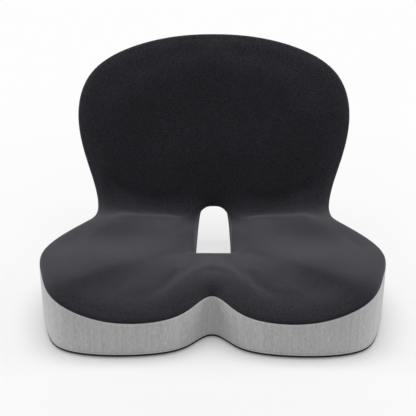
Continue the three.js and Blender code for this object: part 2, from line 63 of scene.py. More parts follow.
# ---------------------------------------------------------------- the contour, in millimetres
# side is across from the middle; run goes along the reference line, from the front of the seat
# to the top of the back; height and level are off that line.
HALF_WIDTH = 225
SEAT_HEIGHT = 60
SEAT_RUN = 256
TURN_RUN = 114
BACK_RUN = 160
TURN_END = SEAT_RUN + TURN_RUN
SPINE_LENGTH = TURN_END + BACK_RUN
LEAN_LOW = 7
LEAN_TOP = 17
LEAN_START = TURN_END - 20
BACK_THICKNESS = 62
BACK_THICKNESS_TOP = 36
HEEL_BLEND = 60
BAND_DRAFT = 3
BASE_EDGE = 4.5
SLOT_HALF = 25
SLOT_HALF_REAR = 25
SLOT_FRONT = SEAT_RUN - 80
SLOT_LENGTH = 80 + 66
SLOT_FOOT_LENGTH = 80 + 78
HEEL_SEAM = 22.15
ZIP_HEIGHT = 122
ZIP_LENGTH = 300
ZIP_WINDOW = 20
TAPE_DROP = 0.7  # of the middle of the zip's tape below the rear face
COVER = 1.5
LINER = 0.8
LINER_DEPTH = 1.8
FOAM_DEPTH = 3.2
CHAIN_WIDTH = 6.4
CHAIN_HEIGHT = 1.8
RUNNING_GAP = 0.3

# The upper seam's right half, from the front notch round to the top of the back: side as a share
# of half the width, run, level, width and height of the roll above it, swell of the field inside.
OUTLINE = [
    (0, 64, 0, 34, 20, 0),
    (0.08, 36, -2, 34, 19, 1),
    (0.2, 3, -11, 40, 19, 3),
    (0.578, -7, -14, 48, 20, 4),
    (0.9, 10, 12, 34, 16, 0),
    (0.96, 78, 17, 26, 14, -4),
    (1.055, 185, 2, 26, 15, -5),
    (0.82, 260, 8, 24, 15, -5),
    (0.693, 310, 4, 20, 13, -4),
    (0.778, 364, -12, 20, 12, -4),
    (0.88, 440, -12, 20, 12, -5),
    (0.805, 521, -11, 20, 12, -6),
    (0.373, 559, -12, 20, 12, -6),
    (0, 565, -12, 20, 12, -6),
]
# The slot's right half, point for point with the outline: side, share of its length, level,
# width and height of its roll.
SLOT = [
    (0, 0, 2, 14, 10),
    (SLOT_HALF * 0.5, 0, 2, 14, 10),
    (SLOT_HALF * 0.95, 0, 2, 14, 10),
    (SLOT_HALF, 0.01, 2, 14, 9),
    (SLOT_HALF, 0.09, 2, 14, 8),
    (SLOT_HALF, 0.22, 1, 14, 8),
    (SLOT_HALF, 0.38, 1, 14, 8),
    (SLOT_HALF, 0.54, 0, 15, 9),
    (SLOT_HALF, 0.68, -2, 17, 10),
    (SLOT_HALF_REAR, 0.81, -6, 20, 12),
    (SLOT_HALF_REAR * 0.9, 0.91, -10, 24, 14),
    (SLOT_HALF_REAR * 0.66, 0.97, -12, 28, 16),
    (SLOT_HALF_REAR * 0.34, 1, -14, 30, 18),
    (0, 1, -14, 30, 18),
]
COLUMNS_PER_SPAN = 12
# Distances of the rings beside a seam, close enough together to round the cloth into it, and
# beside a sewn corner, further apart than the cloth is thick.
BY_SEAM = np.array([0, 0.35, 0.8, 1.4, 2.2, 3.4, 5.2])
BY_CORNER = np.array([0, 2.2, 3.6, 5.4])
CLEAR_OF_SEAM = BY_SEAM[-1]


# ---------------------------------------------------------------- sizes and colours to change
def length(name, description, millimetres):
    """A length that a user may change, kept in metres."""
    return FloatProperty(
        name=name, description=description, default=millimetres * MM, min=0, unit="LENGTH"
    )


def colour(name, description, default):
    """A linear colour that a user may change."""
    return FloatVectorProperty(
        name=name, description=description, default=default, min=0, max=1, size=3, subtype="COLOR"
    )


class CushionSizes(bpy.types.PropertyGroup):
    """Sizes of the sewing, the cloth and the zip's fine parts."""

    seam_depth: length("Seam Depth", "How deep the cloth turns in at a seam", 1.1)
    seam_width: length("Seam Width", "How far from a seam the cloth starts to turn in", 2.6)
    pucker: length("Pucker", "Height of the small gathers beside a seam", 0.22)
    pucker_reach: length("Pucker Reach", "How far the gathers reach from a seam", 9)
    settle_most: length("Most Settling", "The most that the simulated cloth may move", 3)
    base_lift: length("Base Lift", "Height of the base cloth over the floor, on its dots", 0.8)
    stitch_pitch: length("Stitch Pitch", "From one stitch to the next", 4)
    stitch_length: length("Stitch Length", "Length of the thread that shows", 3.1)
    thread: length("Thread", "Thickness of the sewing thread", 0.55)
    stitch_inset: length("Stitch Inset", "From a seam to the stitches beside it", 3)
    dot_pitch: length("Dot Pitch", "From one grip dot to the next", 8)
    dot_width: length("Dot Width", "Across a grip dot", 3)
    coil_pitch: length("Coil Pitch", "From one turn of the zip's coil to the next", 1.3)
    coil_wire: length("Coil Wire", "Thickness of the coil's nylon", 0.62)
    settle_frames: IntProperty(
        name="Settling Frames", description="Steps of the cloth simulation", default=20, min=2
    )


class CushionColours(bpy.types.PropertyGroup):
    """Colours of the cloths, the foam and the zip."""

    velour: colour("Velour", "Short-pile cloth on the seat and back", (0.0115, 0.0117, 0.015))
    heather: colour("Heather", "Grey cloth of the side band", (0.48, 0.48, 0.485))
    grip_cloth: colour("Grip Cloth", "Non-slip cloth under the seat", (0.016, 0.016, 0.018))
    grip_dot: colour("Grip Dot", "Silicone dots under the seat", (0.035, 0.035, 0.038))
    foam: colour("Foam", "Slow-recovery foam", (0.76, 0.69, 0.5))
    liner: colour("Liner", "Knitted inner liner", (0.7, 0.69, 0.64))
    thread: colour("Thread", "Sewing thread on the band", (0.3, 0.3, 0.305))
    dark_thread: colour("Dark Thread", "Sewing thread beside the zip", (0.03, 0.03, 0.034))
    tape: colour("Zip Tape", "Woven tape of the zip", (0.012, 0.012, 0.014))
    coil: colour("Zip Coil", "Nylon coil of the zip", (0.02, 0.02, 0.023))
    enamel: colour("Enamel", "Painted metal of the slider and stops", (0.025, 0.025, 0.028))
    label: colour("Label", "Satin of the care label", (0.78, 0.78, 0.75))


class StageSettings(bpy.types.PropertyGroup):
    """The camera, the light and the floor."""

    distance: length("Camera Distance", "From the camera to the point it looks at", 1765)
    elevation: FloatProperty(
        name="Elevation", description="Of the camera", default=math.radians(22), subtype="ANGLE"
    )
    azimuth: FloatProperty(
        name="Azimuth", description="Of the camera", default=math.radians(0.6), subtype="ANGLE"
    )
    focal_length: FloatProperty(
        name="Focal Length", description="Of the lens, in millimetres", default=123.5, unit="CAMERA"
    )
    sky: FloatProperty(name="Sky", description="Strength of the even light", default=0.4, min=0)
    backdrop: FloatProperty(
        name="Backdrop", description="Brightness of the empty background", default=0.985, min=0
    )
    overhead: FloatProperty(
        name="Overhead", description="Power of the soft box above", default=27, unit="POWER"
    )
    sides: FloatProperty(
        name="Side Boxes", description="Power of each soft box at a side", default=9, unit="POWER"
    )
    glow: FloatProperty(
        name="Front Glow", description="Light from the floor itself at its front", default=0.2, min=0
    )
    rear_glow: FloatProperty(
        name="Rear Glow", description="Light from the floor itself at its rear", default=0.72, min=0
    )
    floor: colour("Floor", "Colour of the floor", (0.6, 0.6, 0.6))


# ---------------------------------------------------------------- small functions
def smooth3(x):
    """Rises from 0 to 1 as 3x^2 - 2x^3."""
    x = np.clip(x, 0, 1)
    return x * x * (3 - 2 * x)


def smooth5(x):
    """Rises from 0 to 1 as 6x^5 - 15x^4 + 10x^3."""
    x = np.clip(x, 0, 1)
    return x**3 * (x * (6 * x - 15) + 10)


def unit(vectors):
    """Each vector divided by its own length."""
    return vectors / np.maximum(np.linalg.norm(vectors, axis=-1, keepdims=True), 1e-12)


# ---------------------------------------------------------------- the reference line
LINE_STEP = 0.5
LINE_RUNS = np.arange(-80, SPINE_LENGTH + 120 + LINE_STEP / 2, LINE_STEP)


def heading(run):
    """Slope angle of the reference line: level along the seat, then turning up by 90 degrees
    less the low lean through the turn, and leaning back further up to its top."""
    turn = smooth5((run - SEAT_RUN) / TURN_RUN)
    lean = smooth3((run - LEAN_START) / (SPINE_LENGTH - LEAN_START))
    return math.radians(90 - LEAN_LOW) * turn - math.radians(LEAN_TOP - LEAN_LOW) * lean


def summed_line():
    """Places (y, z) along the reference line: the sum of short steps along its heading."""
    slopes = heading(LINE_RUNS[:-1] + LINE_STEP / 2)
    steps = LINE_STEP * np.stack([np.cos(slopes), np.sin(slopes)], -1)
    return np.vstack([[0, 0], np.cumsum(steps, axis=0)]) + [LINE_RUNS[0], SEAT_HEIGHT]


LINE = summed_line()


def line_place(run):
    """Place (y, z) of the reference line at a run."""
    return np.stack([np.interp(run, LINE_RUNS, LINE[:, k]) for k in (0, 1)], -1)


TURN_HEADING = float(heading(np.array(TURN_END)))
REAR_NORMAL = np.array([-math.sin(TURN_HEADING), math.cos(TURN_HEADING)])
REAR_PLACE = line_place(TURN_END) - REAR_NORMAL * BACK_THICKNESS


def thickness(run):
    """Below the reference line: the softened lesser of the way down to the floor and the way
    back to a straight rear face, and past the turn an even taper up the back."""
    slope = heading(run)
    place = line_place(run)
    down = np.maximum(np.cos(slope), 1e-3)
    facing = np.maximum(np.cos(TURN_HEADING - slope), 1e-3)
    to_floor = place[..., 1] / down
    to_rear = (place - REAR_PLACE) @ REAR_NORMAL / facing
    blend = np.maximum(HEEL_BLEND - np.abs(to_floor - to_rear), 0) / HEEL_BLEND
    under_seat = np.minimum(to_floor, to_rear) - blend**2 * HEEL_BLEND / 4
    up = smooth3((run - TURN_END) / BACK_RUN)
    up_back = BACK_THICKNESS + (BACK_THICKNESS_TOP - BACK_THICKNESS) * up
    return np.where(run < TURN_END, under_seat, up_back)


def upper(side, run, height):
    """A point at a side and run, raised by height at right angles to the reference line."""
    side, run, height = np.broadcast_arrays(side, run, height)
    place = line_place(run)
    slope = heading(run)
    y = place[..., 0] - height * np.sin(slope)
    z = place[..., 1] + height * np.cos(slope)
    return np.stack([side, y, z], -1)


def lower(side, run, lift):
    """A point of the underside or rear face, raised by lift into the cushion."""
    return upper(side, run, lift - thickness(run))


# ---------------------------------------------------------------- outlines
def closed_spline(rows):
    """Uniform cubic B-spline through the closed polygon of a half outline and its mirror image:
    each point is the sum of four neighbours with the weights (1-t)^3, 3t^3-6t^2+4,
    -3t^3+3t^2+3t+1 and t^3, all over 6."""
    rows = np.array(rows, float)
    mirrored = rows[-2:0:-1].copy()
    mirrored[:, 0] *= -1
    closed = np.vstack([rows, mirrored])
    t = np.arange(COLUMNS_PER_SPAN) / COLUMNS_PER_SPAN
    weights = np.stack([
        (1 - t) ** 3, 3 * t**3 - 6 * t**2 + 4, -3 * t**3 + 3 * t**2 + 3 * t + 1, t**3
    ]) / 6
    neighbours = np.stack([np.roll(closed, 1 - k, axis=0) for k in range(4)])
    return np.einsum("kt,ksf->stf", weights, neighbours).reshape(-1, rows.shape[1])


def inward(outline):
    """Unit normals of a closed (side, run) outline, towards its inside."""
    along = np.roll(outline, -1, axis=0) - np.roll(outline, 1, axis=0)
    return unit(np.stack([-along[:, 1], along[:, 0]], -1))


# ---------------------------------------------------------------- the skin
def spread(total, near_start, near_end, count):
    """Distances along stretches of the given lengths: set ones beside each end, and count even
    steps between them."""
    low = near_start[-1]
    high = total - near_end[-1]
    share = np.linspace(0, 1, count + 2)[1:-1, None]
    start = near_start[:, None] + 0 * total
    return np.vstack([start, low + (high - low) * share, total - near_end[::-1, None]])


class Skin:
    """The outside of the cushion as one closed ring-shaped grid: columns run round the
    perimeter, and rings run from the base seam up the band, over the crown and the field, down
    the slot and back under the base. points is (rings, columns, 3) in millimetres; to_seam is
    each point's distance from the nearest seam; places names the rings of the seams."""

    def __init__(self):
        outline = closed_spline([(HALF_WIDTH * row[0], *row[1:]) for row in OUTLINE])
        slot = closed_spline([
            (side, SLOT_FRONT + SLOT_LENGTH * share, level, crown, rise,
             SLOT_FRONT + SLOT_FOOT_LENGTH * share)
            for side, share, level, crown, rise in SLOT
        ])
        self.rings = []
        self.seam_ways = []
        self.places = {"base_seam": 0}
        self.edge, self.level, self.crown, self.rise, self.swell = self.split(outline)
        self.slot, self.slot_level, self.slot_crown, self.slot_rise, foot = self.split(slot)
        self.slot_foot = np.stack([self.slot[:, 0], foot], -1)
        self.edge_in = inward(self.edge)
        self.slot_in = inward(self.slot)
        self.add_band()
        self.add_top()
        self.add_slot_wall()
        self.add_underside()
        self.points = np.vstack(self.rings)
        self.to_seam = np.vstack(self.seam_ways)
        self.columns = self.points.shape[1]

    @staticmethod
    def split(rows):
        """A spline's (side, run) pairs, then each of its other values."""
        return [rows[:, :2], *rows[:, 2:].T]

    def add(self, points, to_seam):
        self.rings.append(points)
        self.seam_ways.append(np.broadcast_to(to_seam, points.shape[:2]))

    def mark(self, name):
        """Names the last ring so far."""
        self.places[name] = sum(len(group) for group in self.rings) - 1

    def inset(self, distance):
        return self.edge + self.edge_in * np.asarray(distance)[..., None]

    def outset(self, distance):
        return self.slot - self.slot_in * np.asarray(distance)[..., None]

    def straight(self, start, end, near_start, near_end, count):
        """Points along the straight lines from start to end, and their ways to the nearer end."""
        total = np.linalg.norm(end - start, axis=-1)
        way = spread(total, near_start, near_end, count)
        points = start + (end - start) * (way / total)[..., None]
        return points, np.minimum(way, total - way)

    def add_band(self):
        """Straight up from the base edge to the upper seam."""
        foot = self.inset(BAND_DRAFT + 0 * self.level)
        foot = lower(foot[:, 0], foot[:, 1], BASE_EDGE)
        top = upper(self.edge[:, 0], self.edge[:, 1], self.level)
        self.add(*self.straight(foot, top, BY_SEAM, BY_SEAM, 8))
        self.mark("top_seam")

    @staticmethod
    def roll_angles(rise, count):
        """Angles of a quarter roll: beside its seam by distance, then in even steps."""
        near = BY_SEAM[1:, None] / rise
        share = np.linspace(0, 1, count)[1:, None]
        return np.vstack([near, near[-1] + (math.pi / 2 - near[-1]) * share])

    def add_top(self):
        """A quarter ellipse up from the seam, the field across to the slot, whose height mixes
        both ends' with a swell of sine squared, and a quarter ellipse down into the slot."""
        angle = self.roll_angles(self.rise, 12)
        place = self.inset(self.crown * (1 - np.cos(angle)))
        height = self.level + self.rise * np.sin(angle)
        self.add(upper(place[..., 0], place[..., 1], height), self.rise * angle)
        start = self.inset(self.crown)
        end = self.outset(self.slot_crown)
        t = np.linspace(0, 1, 46)[1:-1, None]
        place = start + (end - start) * t[..., None]
        low = self.level + self.rise
        high = self.slot_level + self.slot_rise
        height = low + (high - low) * smooth3(t) + self.swell * np.sin(math.pi * t) ** 2
        self.add(upper(place[..., 0], place[..., 1], height), CLEAR_OF_SEAM * 4)
        angle = np.vstack([self.roll_angles(self.slot_rise, 10)[::-1], 0 * self.slot_rise])
        place = self.outset(self.slot_crown * (1 - np.cos(angle)))
        height = self.slot_level + self.slot_rise * np.sin(angle)
        self.add(upper(place[..., 0], place[..., 1], height), self.slot_rise * angle)
        self.mark("slot_seam")

    def add_slot_wall(self):
        """Straight down from the slot's seam to its foot."""
        foot = lower(self.slot_foot[:, 0], self.slot_foot[:, 1], 0)
        points, way = self.straight(self.rings[-1][-1], foot, BY_SEAM, BY_CORNER, 9)
        self.add(points[1:], way[1:])
        self.mark("slot_corner")

    def add_underside(self):
        """Out from the slot's foot under the base and up the rear face, then round the base edge
        on an arc, back to the first ring."""
        far = self.inset(BAND_DRAFT + BASE_EDGE + 0 * self.level)
        total = np.linalg.norm(far - self.slot_foot, axis=-1)
        way = spread(total, BY_CORNER, np.array([0.0]), 54)[1:]
        place = self.slot_foot + (far - self.slot_foot) * (way / total)[..., None]
        self.add(lower(place[..., 0], place[..., 1], 0), np.minimum(way, CLEAR_OF_SEAM * 4))
        from_seam = BY_SEAM[:0:-1, None] + 0 * self.level
        angle = math.pi / 2 - from_seam / BASE_EDGE
        place = self.inset(BAND_DRAFT + BASE_EDGE * (1 - np.sin(angle)))
        lift = BASE_EDGE * (1 - np.cos(angle))
        self.add(lower(place[..., 0], place[..., 1], lift), from_seam)

    def between(self, start, end):
        """Numbers of the rings from one named seam to the next."""
        first = self.places[start]
        last = self.places[end] or len(self.points)
        return np.arange(first, last + 1) % len(self.points)


def relaxed(points, share, rounds):
    """Each round moves every point by its share of the way to the mean of its four
    neighbours."""
    for _ in range(rounds):
        mean = sum(np.roll(points, step, axis) for step in (1, -1) for axis in (0, 1)) / 4
        points = points + (mean - points) * share[..., None]
    return points


def outward(points):
    """Outward directions of a closed grid: the mean of the four neighbouring faces' normals.
    Round a corner they are longer than 1, up to 1.5, so that a ply keeps its thickness."""
    ways = [
        unit(np.roll(points, -1, 1) - points),
        unit(np.roll(points, -1, 0) - points),
        unit(np.roll(points, 1, 1) - points),
        unit(np.roll(points, 1, 0) - points),
    ]
    faces = [unit(np.cross(ways[k], ways[(k + 1) % 4])) for k in range(4)]
    mean = unit(sum(faces))
    facing = sum((face * mean).sum(-1) for face in faces) / 4
    return mean * np.minimum(1 / np.maximum(facing, 0.1), 1.5)[..., None]


# ---------------------------------------------------------------- meshes
def grid_quads(rows, columns, wrap_columns=True, wrap_rows=False):
    """Corner numbers of the quads of a grid, with its normals on the side where columns turn
    into rows."""
    r, c = np.meshgrid(
        np.arange(rows - (not wrap_rows)), np.arange(columns - (not wrap_columns)), indexing="ij"
    )
    r2 = (r + 1) % rows
    c2 = (c + 1) % columns
    corners = [r * columns + c, r * columns + c2, r2 * columns + c2, r2 * columns + c]
    return np.stack(corners, -1).reshape(-1, 4)


def make_mesh(name, points, *face_groups):
    """A mesh from an array of points in metres and arrays of faces, one for each corner count."""
    mesh = bpy.data.meshes.new(name)
    sizes = np.concatenate([np.full(len(group), group.shape[1]) for group in face_groups])
    corners = np.concatenate([group.ravel() for group in face_groups]).astype(np.int32)
    starts = np.concatenate([[0], np.cumsum(sizes)[:-1]]).astype(np.int32)
    mesh.vertices.add(len(points))
    mesh.loops.add(len(corners))
    mesh.polygons.add(len(sizes))
    mesh.vertices.foreach_set("co", points.astype(np.float32).ravel())
    mesh.loops.foreach_set("vertex_index", corners)
    mesh.polygons.foreach_set("loop_start", starts)
    mesh.update(calc_edges=True)
    mesh.shade_smooth()
    return mesh


def add_piece(name, mesh, material, body, slot, *stands_for):
    """Puts a finished mesh in the scene on its body, with its material and what it stands for."""
    piece = bpy.data.objects.new(name, mesh)
    bpy.context.scene.collection.objects.link(piece)
    mesh.materials.append(material)
    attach(piece, body)
    if stands_for:
        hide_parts(*stands_for)
    return piece


def shell(name, outer, inner):
    """A closed sheet: an outer and an inner grid, wrapped round their columns, and a strip
    between them along the first and the last row."""
    rows, columns = outer.shape[:2]
    points = np.vstack([outer.reshape(-1, 3), inner.reshape(-1, 3)])
    quads = grid_quads(rows, columns)
    column = np.arange(columns)
    after = (column + 1) % columns
    half = rows * columns
    last = half - columns
    first_strip = np.stack([half + column, half + after, after, column], -1)
    last_strip = np.stack([column, after, half + after, half + column], -1) + last
    faces = np.vstack([quads, quads[:, ::-1] + half, first_strip, last_strip])
    return make_mesh(name, points, faces)


def add_cloth_map(mesh, rings):
    """A UV map in metres: how far round the perimeter, counted from the front, and how far up
    the sheet. It breaks at the middle of the back."""
    rows, columns = rings.shape[:2]
    middle = rings[rows // 2]
    steps = np.linalg.norm(np.roll(middle, -1, 0) - middle, axis=-1)
    round_it = np.concatenate([[0], np.cumsum(steps)])
    column = np.arange(columns)
    u = round_it[:-1] - np.where(column > columns // 2, round_it[-1], 0)
    up_it = np.linalg.norm(np.diff(rings, axis=0), axis=-1)
    v = np.vstack([0 * steps, np.cumsum(up_it, axis=0)])
    v2 = np.roll(v, -1, 1)
    u = np.broadcast_to(u, (rows - 1, columns))
    u2 = u + steps
    outer = np.stack([
        np.stack([u, v[:-1]], -1), np.stack([u2, v2[:-1]], -1),
        np.stack([u2, v2[1:]], -1), np.stack([u, v[1:]], -1),
    ], -2).reshape(-1, 4, 2)
    edges = [outer[:columns], outer[-columns:]]
    values = np.concatenate([outer, outer[:, ::-1], *edges])
    layer = mesh.uv_layers.new(name="cloth")
    layer.data.foreach_set("uv", values.astype(np.float32).ravel())


# ---------------------------------------------------------------- settling the cloth
def settled(points, held, frames):
    """Where the points of a closed grid of cloth go when it is pressed outwards from inside,
    with no gravity, and held where held is 1."""
    rings, columns = points.shape[:2]
    mesh = make_mesh("settling", points.reshape(-1, 3), grid_quads(rings, columns, True, True))
    cloth_piece = bpy.data.objects.new("settling", mesh)
    bpy.context.scene.collection.objects.link(cloth_piece)
    group = cloth_piece.vertex_groups.new(name="held")
    group.add(np.flatnonzero(held.ravel() > 0).tolist(), 1.0, "REPLACE")
    cloth = cloth_piece.modifiers.new("cloth", "CLOTH")
    cloth.settings.quality = 6
    cloth.settings.mass = 0.25
    cloth.settings.tension_stiffness = 30
    cloth.settings.compression_stiffness = 30
    cloth.settings.shear_stiffness = 12
    cloth.settings.bending_stiffness = 2
    cloth.settings.use_pressure = True
    cloth.settings.uniform_pressure_force = 4
    cloth.settings.vertex_group_mass = "held"
    cloth.settings.effector_weights.gravity = 0
    cloth.collision_settings.use_collision = False
    scene = bpy.context.scene
    for number in range(1, frames + 1):
        scene.frame_set(number)
    evaluated = cloth_piece.evaluated_get(bpy.context.evaluated_depsgraph_get())
    after = np.zeros(rings * columns * 3, np.float32)
    evaluated.data.vertices.foreach_get("co", after)
    scene.frame_set(1)
    bpy.data.objects.remove(cloth_piece)
    bpy.data.meshes.remove(mesh)
    return after.reshape(points.shape).astype(float)


def settling(skin, sizes):
    """How the simulated cloth moves every point of the skin, in millimetres. A coarser grid of
    the skin is simulated, held at its seams and under its base, and its moves are spread over
    the fine grid."""
    every_column = 3
    clear = skin.to_seam.mean(1) >= CLEAR_OF_SEAM * 0.99
    numbers = np.arange(len(skin.points))
    chosen = numbers[(clear & (numbers % 2 == 0)) | np.isin(numbers, list(skin.places.values()))]
    coarse = skin.points[chosen][:, ::every_column]
    held = np.zeros(coarse.shape[:2])
    held[np.isin(chosen, list(skin.places.values()))] = 1
    held[chosen >= skin.places["slot_corner"]] = 1
    moved = settled(coarse * MM, held, sizes.settle_frames) / MM - coarse
    after = np.searchsorted(chosen, numbers, side="right")
    before = after - 1
    next_ring = np.append(chosen, len(numbers))[after]
    share = ((numbers - chosen[before]) / (next_ring - chosen[before]))[:, None, None]
    by_ring = moved[before] * (1 - share) + moved[after % len(chosen)] * share
    spread_out = np.repeat(by_ring, every_column, axis=1)
    for _ in range(2):
        spread_out = sum(np.roll(spread_out, k, 1) for k in (-1, 0, 1)) / 3
    return np.roll(spread_out, -(every_column // 2), 1)


# ---------------------------------------------------------------- the finished skin
def gathers(way_round):
    """Small gathers along a seam, from -1 to 1: a sum of six sines of wavelengths from 9 to
    27 mm, each started at its own place."""
    total = way_round[-1]
    value = 0
    for k, wavelength in enumerate((27, 22.5, 17.3, 14.1, 11.2, 9.1)):
        turns = round(total / wavelength)
        value = value + np.sin(2 * math.pi * turns * way_round / total + 1.7 * k * k) / (1 + 0.4 * k)
    return value / 3


@lru_cache(maxsize=1)
def finished_skin(seam_depth, seam_width, pucker, pucker_reach, most, lift, simulated):
    """The skin with its cloth settled, smoothed between its seams and lifted onto its dots, its
    outward directions, and the relief that turns the cloth into its seams."""
    sizes = bpy.context.scene.cushion_sizes
    skin = Skin()
    points = skin.points
    on_top = np.zeros(len(points))
    on_top[skin.places["top_seam"]: skin.places["slot_seam"]] = 1
    loose = smooth3((skin.to_seam - CLEAR_OF_SEAM) / 12) * on_top[:, None]
    points = relaxed(points, loose, 12)
    skin.points = points
    if simulated:
        direction = unit(outward(points))
        moves = settling(skin, sizes)
        along = (moves * direction).sum(-1)
        usual = np.median(along[loose > 0.5])
        along = along - usual * on_top[:, None]
        free = smooth3(skin.to_seam / 10)
        along = most * np.tanh(along / most) * free
        points = points + direction * along[..., None]
    fall = np.clip(1 - points[..., 2] / 5, 0, 1)
    points = points + np.stack([0 * fall, 0 * fall, lift * fall**2], -1)
    skin.points = points
    skin.outward = outward(points)
    top_ring = points[skin.places["top_seam"]]
    steps = np.linalg.norm(np.roll(top_ring, -1, 0) - top_ring, axis=-1)
    ripple = gathers(np.concatenate([[0], np.cumsum(steps)]))[:-1]
    turned_in = np.clip(1 - skin.to_seam / seam_width, 0, 1)
    skin.relief = seam_depth * (1 - np.sqrt(1 - turned_in**2))
    skin.relief[skin.places["slot_corner"]: 1 - len(BY_SEAM)] = 0
    beside = np.exp(-skin.to_seam / pucker_reach) * smooth3(skin.to_seam / 2)
    beside[skin.places["slot_corner"]:] = 0
    skin.relief = skin.relief + pucker * (0.5 + 0.5 * ripple) * beside
    return skin


def the_skin():
    """The finished skin for the sizes now set."""
    sizes = bpy.context.scene.cushion_sizes
    values = [sizes.seam_depth, sizes.seam_width, sizes.pucker, sizes.pucker_reach]
    values += [sizes.settle_most, sizes.base_lift]
    return finished_skin(*[value / MM for value in values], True)


def at_depth(skin, rings, depth):
    """Points of some rings at a depth below the smooth skin, in metres in the frame."""
    return to_frame(skin.points[rings] - skin.outward[rings] * depth)


def outside(skin, rings):
    """Points of some rings on the cloth's outside, turned in at its seams."""
    inset = (skin.relief / np.linalg.norm(skin.outward, axis=-1))[..., None]
    return to_frame((skin.points - skin.outward * inset)[rings])


def add_panel(name, start, end, material, slot, node):
    """A panel of the cover between two seams, in place of its CAD node."""
    skin = the_skin()
    rings = skin.between(start, end)
    outer = outside(skin, rings)
    inner = at_depth(skin, rings, COVER)
    mesh = shell(name, outer, inner)
    add_cloth_map(mesh, at_depth(skin, rings, 0))
    way_in = mesh.attributes.new("way_from_seam", "FLOAT", "POINT")
    way_in.data.foreach_set("value", np.tile(skin.to_seam[rings].ravel(), 2) * MM)
    return add_piece(name, mesh, material, "cushion", slot, node)


# ---------------------------------------------------------------- the zip's own frame
def find_zip_run():
    """Run at which the rear face is as high as the zip."""
    runs = np.linspace(TURN_END - 20, SPINE_LENGTH, 20001)
    return float(np.interp(ZIP_HEIGHT, lower(0, runs, 0)[:, 2], runs))


ZIP_RUN = find_zip_run()
zip_slope = float(heading(np.array(ZIP_RUN)))
# Along the zip, up the rear face, and out of the cushion.
ZIP_AXES = np.array([
    [-1, 0, 0],
    [0, math.cos(zip_slope), math.sin(zip_slope)],
    [0, math.sin(zip_slope), -math.cos(zip_slope)],
])


def middle_of(*nodes):
    """Middle of the box round some CAD nodes, in metres."""
    boxes = [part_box(node) for node in nodes]
    low = np.min([list(low) for low, _ in boxes], axis=0)
    high = np.max([list(high) for _, high in boxes], axis=0)
    return (low + high) / 2


ZIP_PLACE = middle_of("zip_tape_upper", "zip_tape_lower") + ZIP_AXES[2] * TAPE_DROP * MM
CONTOUR_SHIFT = ZIP_PLACE / MM - lower(0, ZIP_RUN, 0)


def to_frame(points):
    """Points of the contour, in millimetres, as points of the frame, in metres."""
    return (points + CONTOUR_SHIFT * [0, 1, 1]) * MM


def from_zip(points):
    """Points of the zip's frame, in millimetres, as points of the frame, in metres."""
    return ZIP_PLACE + (points @ ZIP_AXES) * MM


def to_zip(points):
    """Points of the frame as points of the zip's frame, in millimetres."""
    return (points - ZIP_PLACE) @ ZIP_AXES.T / MM


# ---------------------------------------------------------------- repeated small shapes
def round_block(steps, power):
    """A closed block inside the cube from -1 to 1, with equal squares on six sides: each point
    of the cube divided by the root of the given power of its coordinates' summed powers. Power 2
    gives a ball, and more gives a box with rounder or sharper edges."""
    line = np.linspace(-1, 1, steps + 1)
    a, b = np.meshgrid(line, line, indexing="ij")
    one = np.ones_like(a)
    sides = []
    for axis in range(3):
        for sign in (1, -1):
            parts = [None, None, None]
            parts[axis] = one * sign
            parts[(axis + 1) % 3] = a * sign
            parts[(axis + 2) % 3] = b
            sides.append(np.stack(parts, -1).reshape(-1, 3))
    points = np.vstack(sides)
    count = (steps + 1) ** 2
    quads = grid_quads(steps + 1, steps + 1, False)
    faces = np.vstack([quads[:, ::-1] + k * count for k in range(6)])
    merged, numbers = np.unique(np.round(points, 6), axis=0, return_inverse=True)
    faces = numbers.reshape(-1)[faces]
    size = (np.abs(merged) ** power).sum(-1, keepdims=True) ** (1 / power)
    return merged / size, faces


def scatter(shape, faces, middles, axes, half_sizes):
    """A copy of one small shape at each middle, along its own three axes, in one array."""
    placed = np.einsum("pk,nkd->npd", shape * half_sizes, axes) + middles[:, None]
    count = len(middles)
    numbers = faces[None] + (np.arange(count) * len(shape))[:, None, None]
    return placed.reshape(-1, 3), numbers.reshape(-1, faces.shape[1])


def evenly_along(line, normals, pitch, closed):
    """Places evenly along a line, with their own axes: along it, across it and out."""
    if closed:
        line = np.vstack([line, line[:1]])
        normals = np.vstack([normals, normals[:1]])
    way = np.concatenate([[0], np.cumsum(np.linalg.norm(np.diff(line, axis=0), axis=-1))])
    count = max(1, round(way[-1] / pitch))
    at = (np.arange(count) + 0.5) * way[-1] / count
    half = 0.25 * pitch
    middles, before, after, out = (
        np.stack([np.interp(x, way, values[:, k]) for k in range(3)], -1)
        for x, values in ((at, line), (at - half, line), (at + half, line), (at, normals))
    )
    along = unit(after - before)
    across = unit(np.cross(out, along))
    return middles, np.stack([along, across, np.cross(along, across)], 1)


def add_stitches(name, lines, material, slot):
    """Stitches along some lines, each given as points, normals and whether it is closed. A
    stitch is a slim rounded bar, half sunk into the cloth."""
    sizes = bpy.context.scene.cushion_sizes
    shape, faces = round_block(2, 2.6)
    half = np.array([sizes.stitch_length, sizes.thread, sizes.thread]) / 2
    points, numbers, count = [], [], 0
    for line, normals, closed in lines:
        middles, axes = evenly_along(line, normals, sizes.stitch_pitch, closed)
        placed, quads = scatter(shape, faces, middles, axes, half)
        points.append(placed)
        numbers.append(quads + count)
        count += len(placed)
    mesh = make_mesh(name, np.vstack(points), np.vstack(numbers))
    return add_piece(name, mesh, material, "cushion", slot)


# ---------------------------------------------------------------- material building
def add_node(tree, kind, links=None, **settings):
    """A shader node with its settings, and its inputs as links from sockets or plain values."""
    made = tree.nodes.new("ShaderNode" + kind)
    for key, value in settings.items():
        setattr(made, key, value)
    for key, value in (links or {}).items():
        if isinstance(value, bpy.types.NodeSocket):
            tree.links.new(value, made.inputs[key])
        else:
            made.inputs[key].default_value = value
    return made


def sum_of(tree, operation, first, second):
    """Output of a Math node on two sockets or numbers."""
    return add_node(tree, "Math", {0: first, 1: second}, operation=operation).outputs[0]


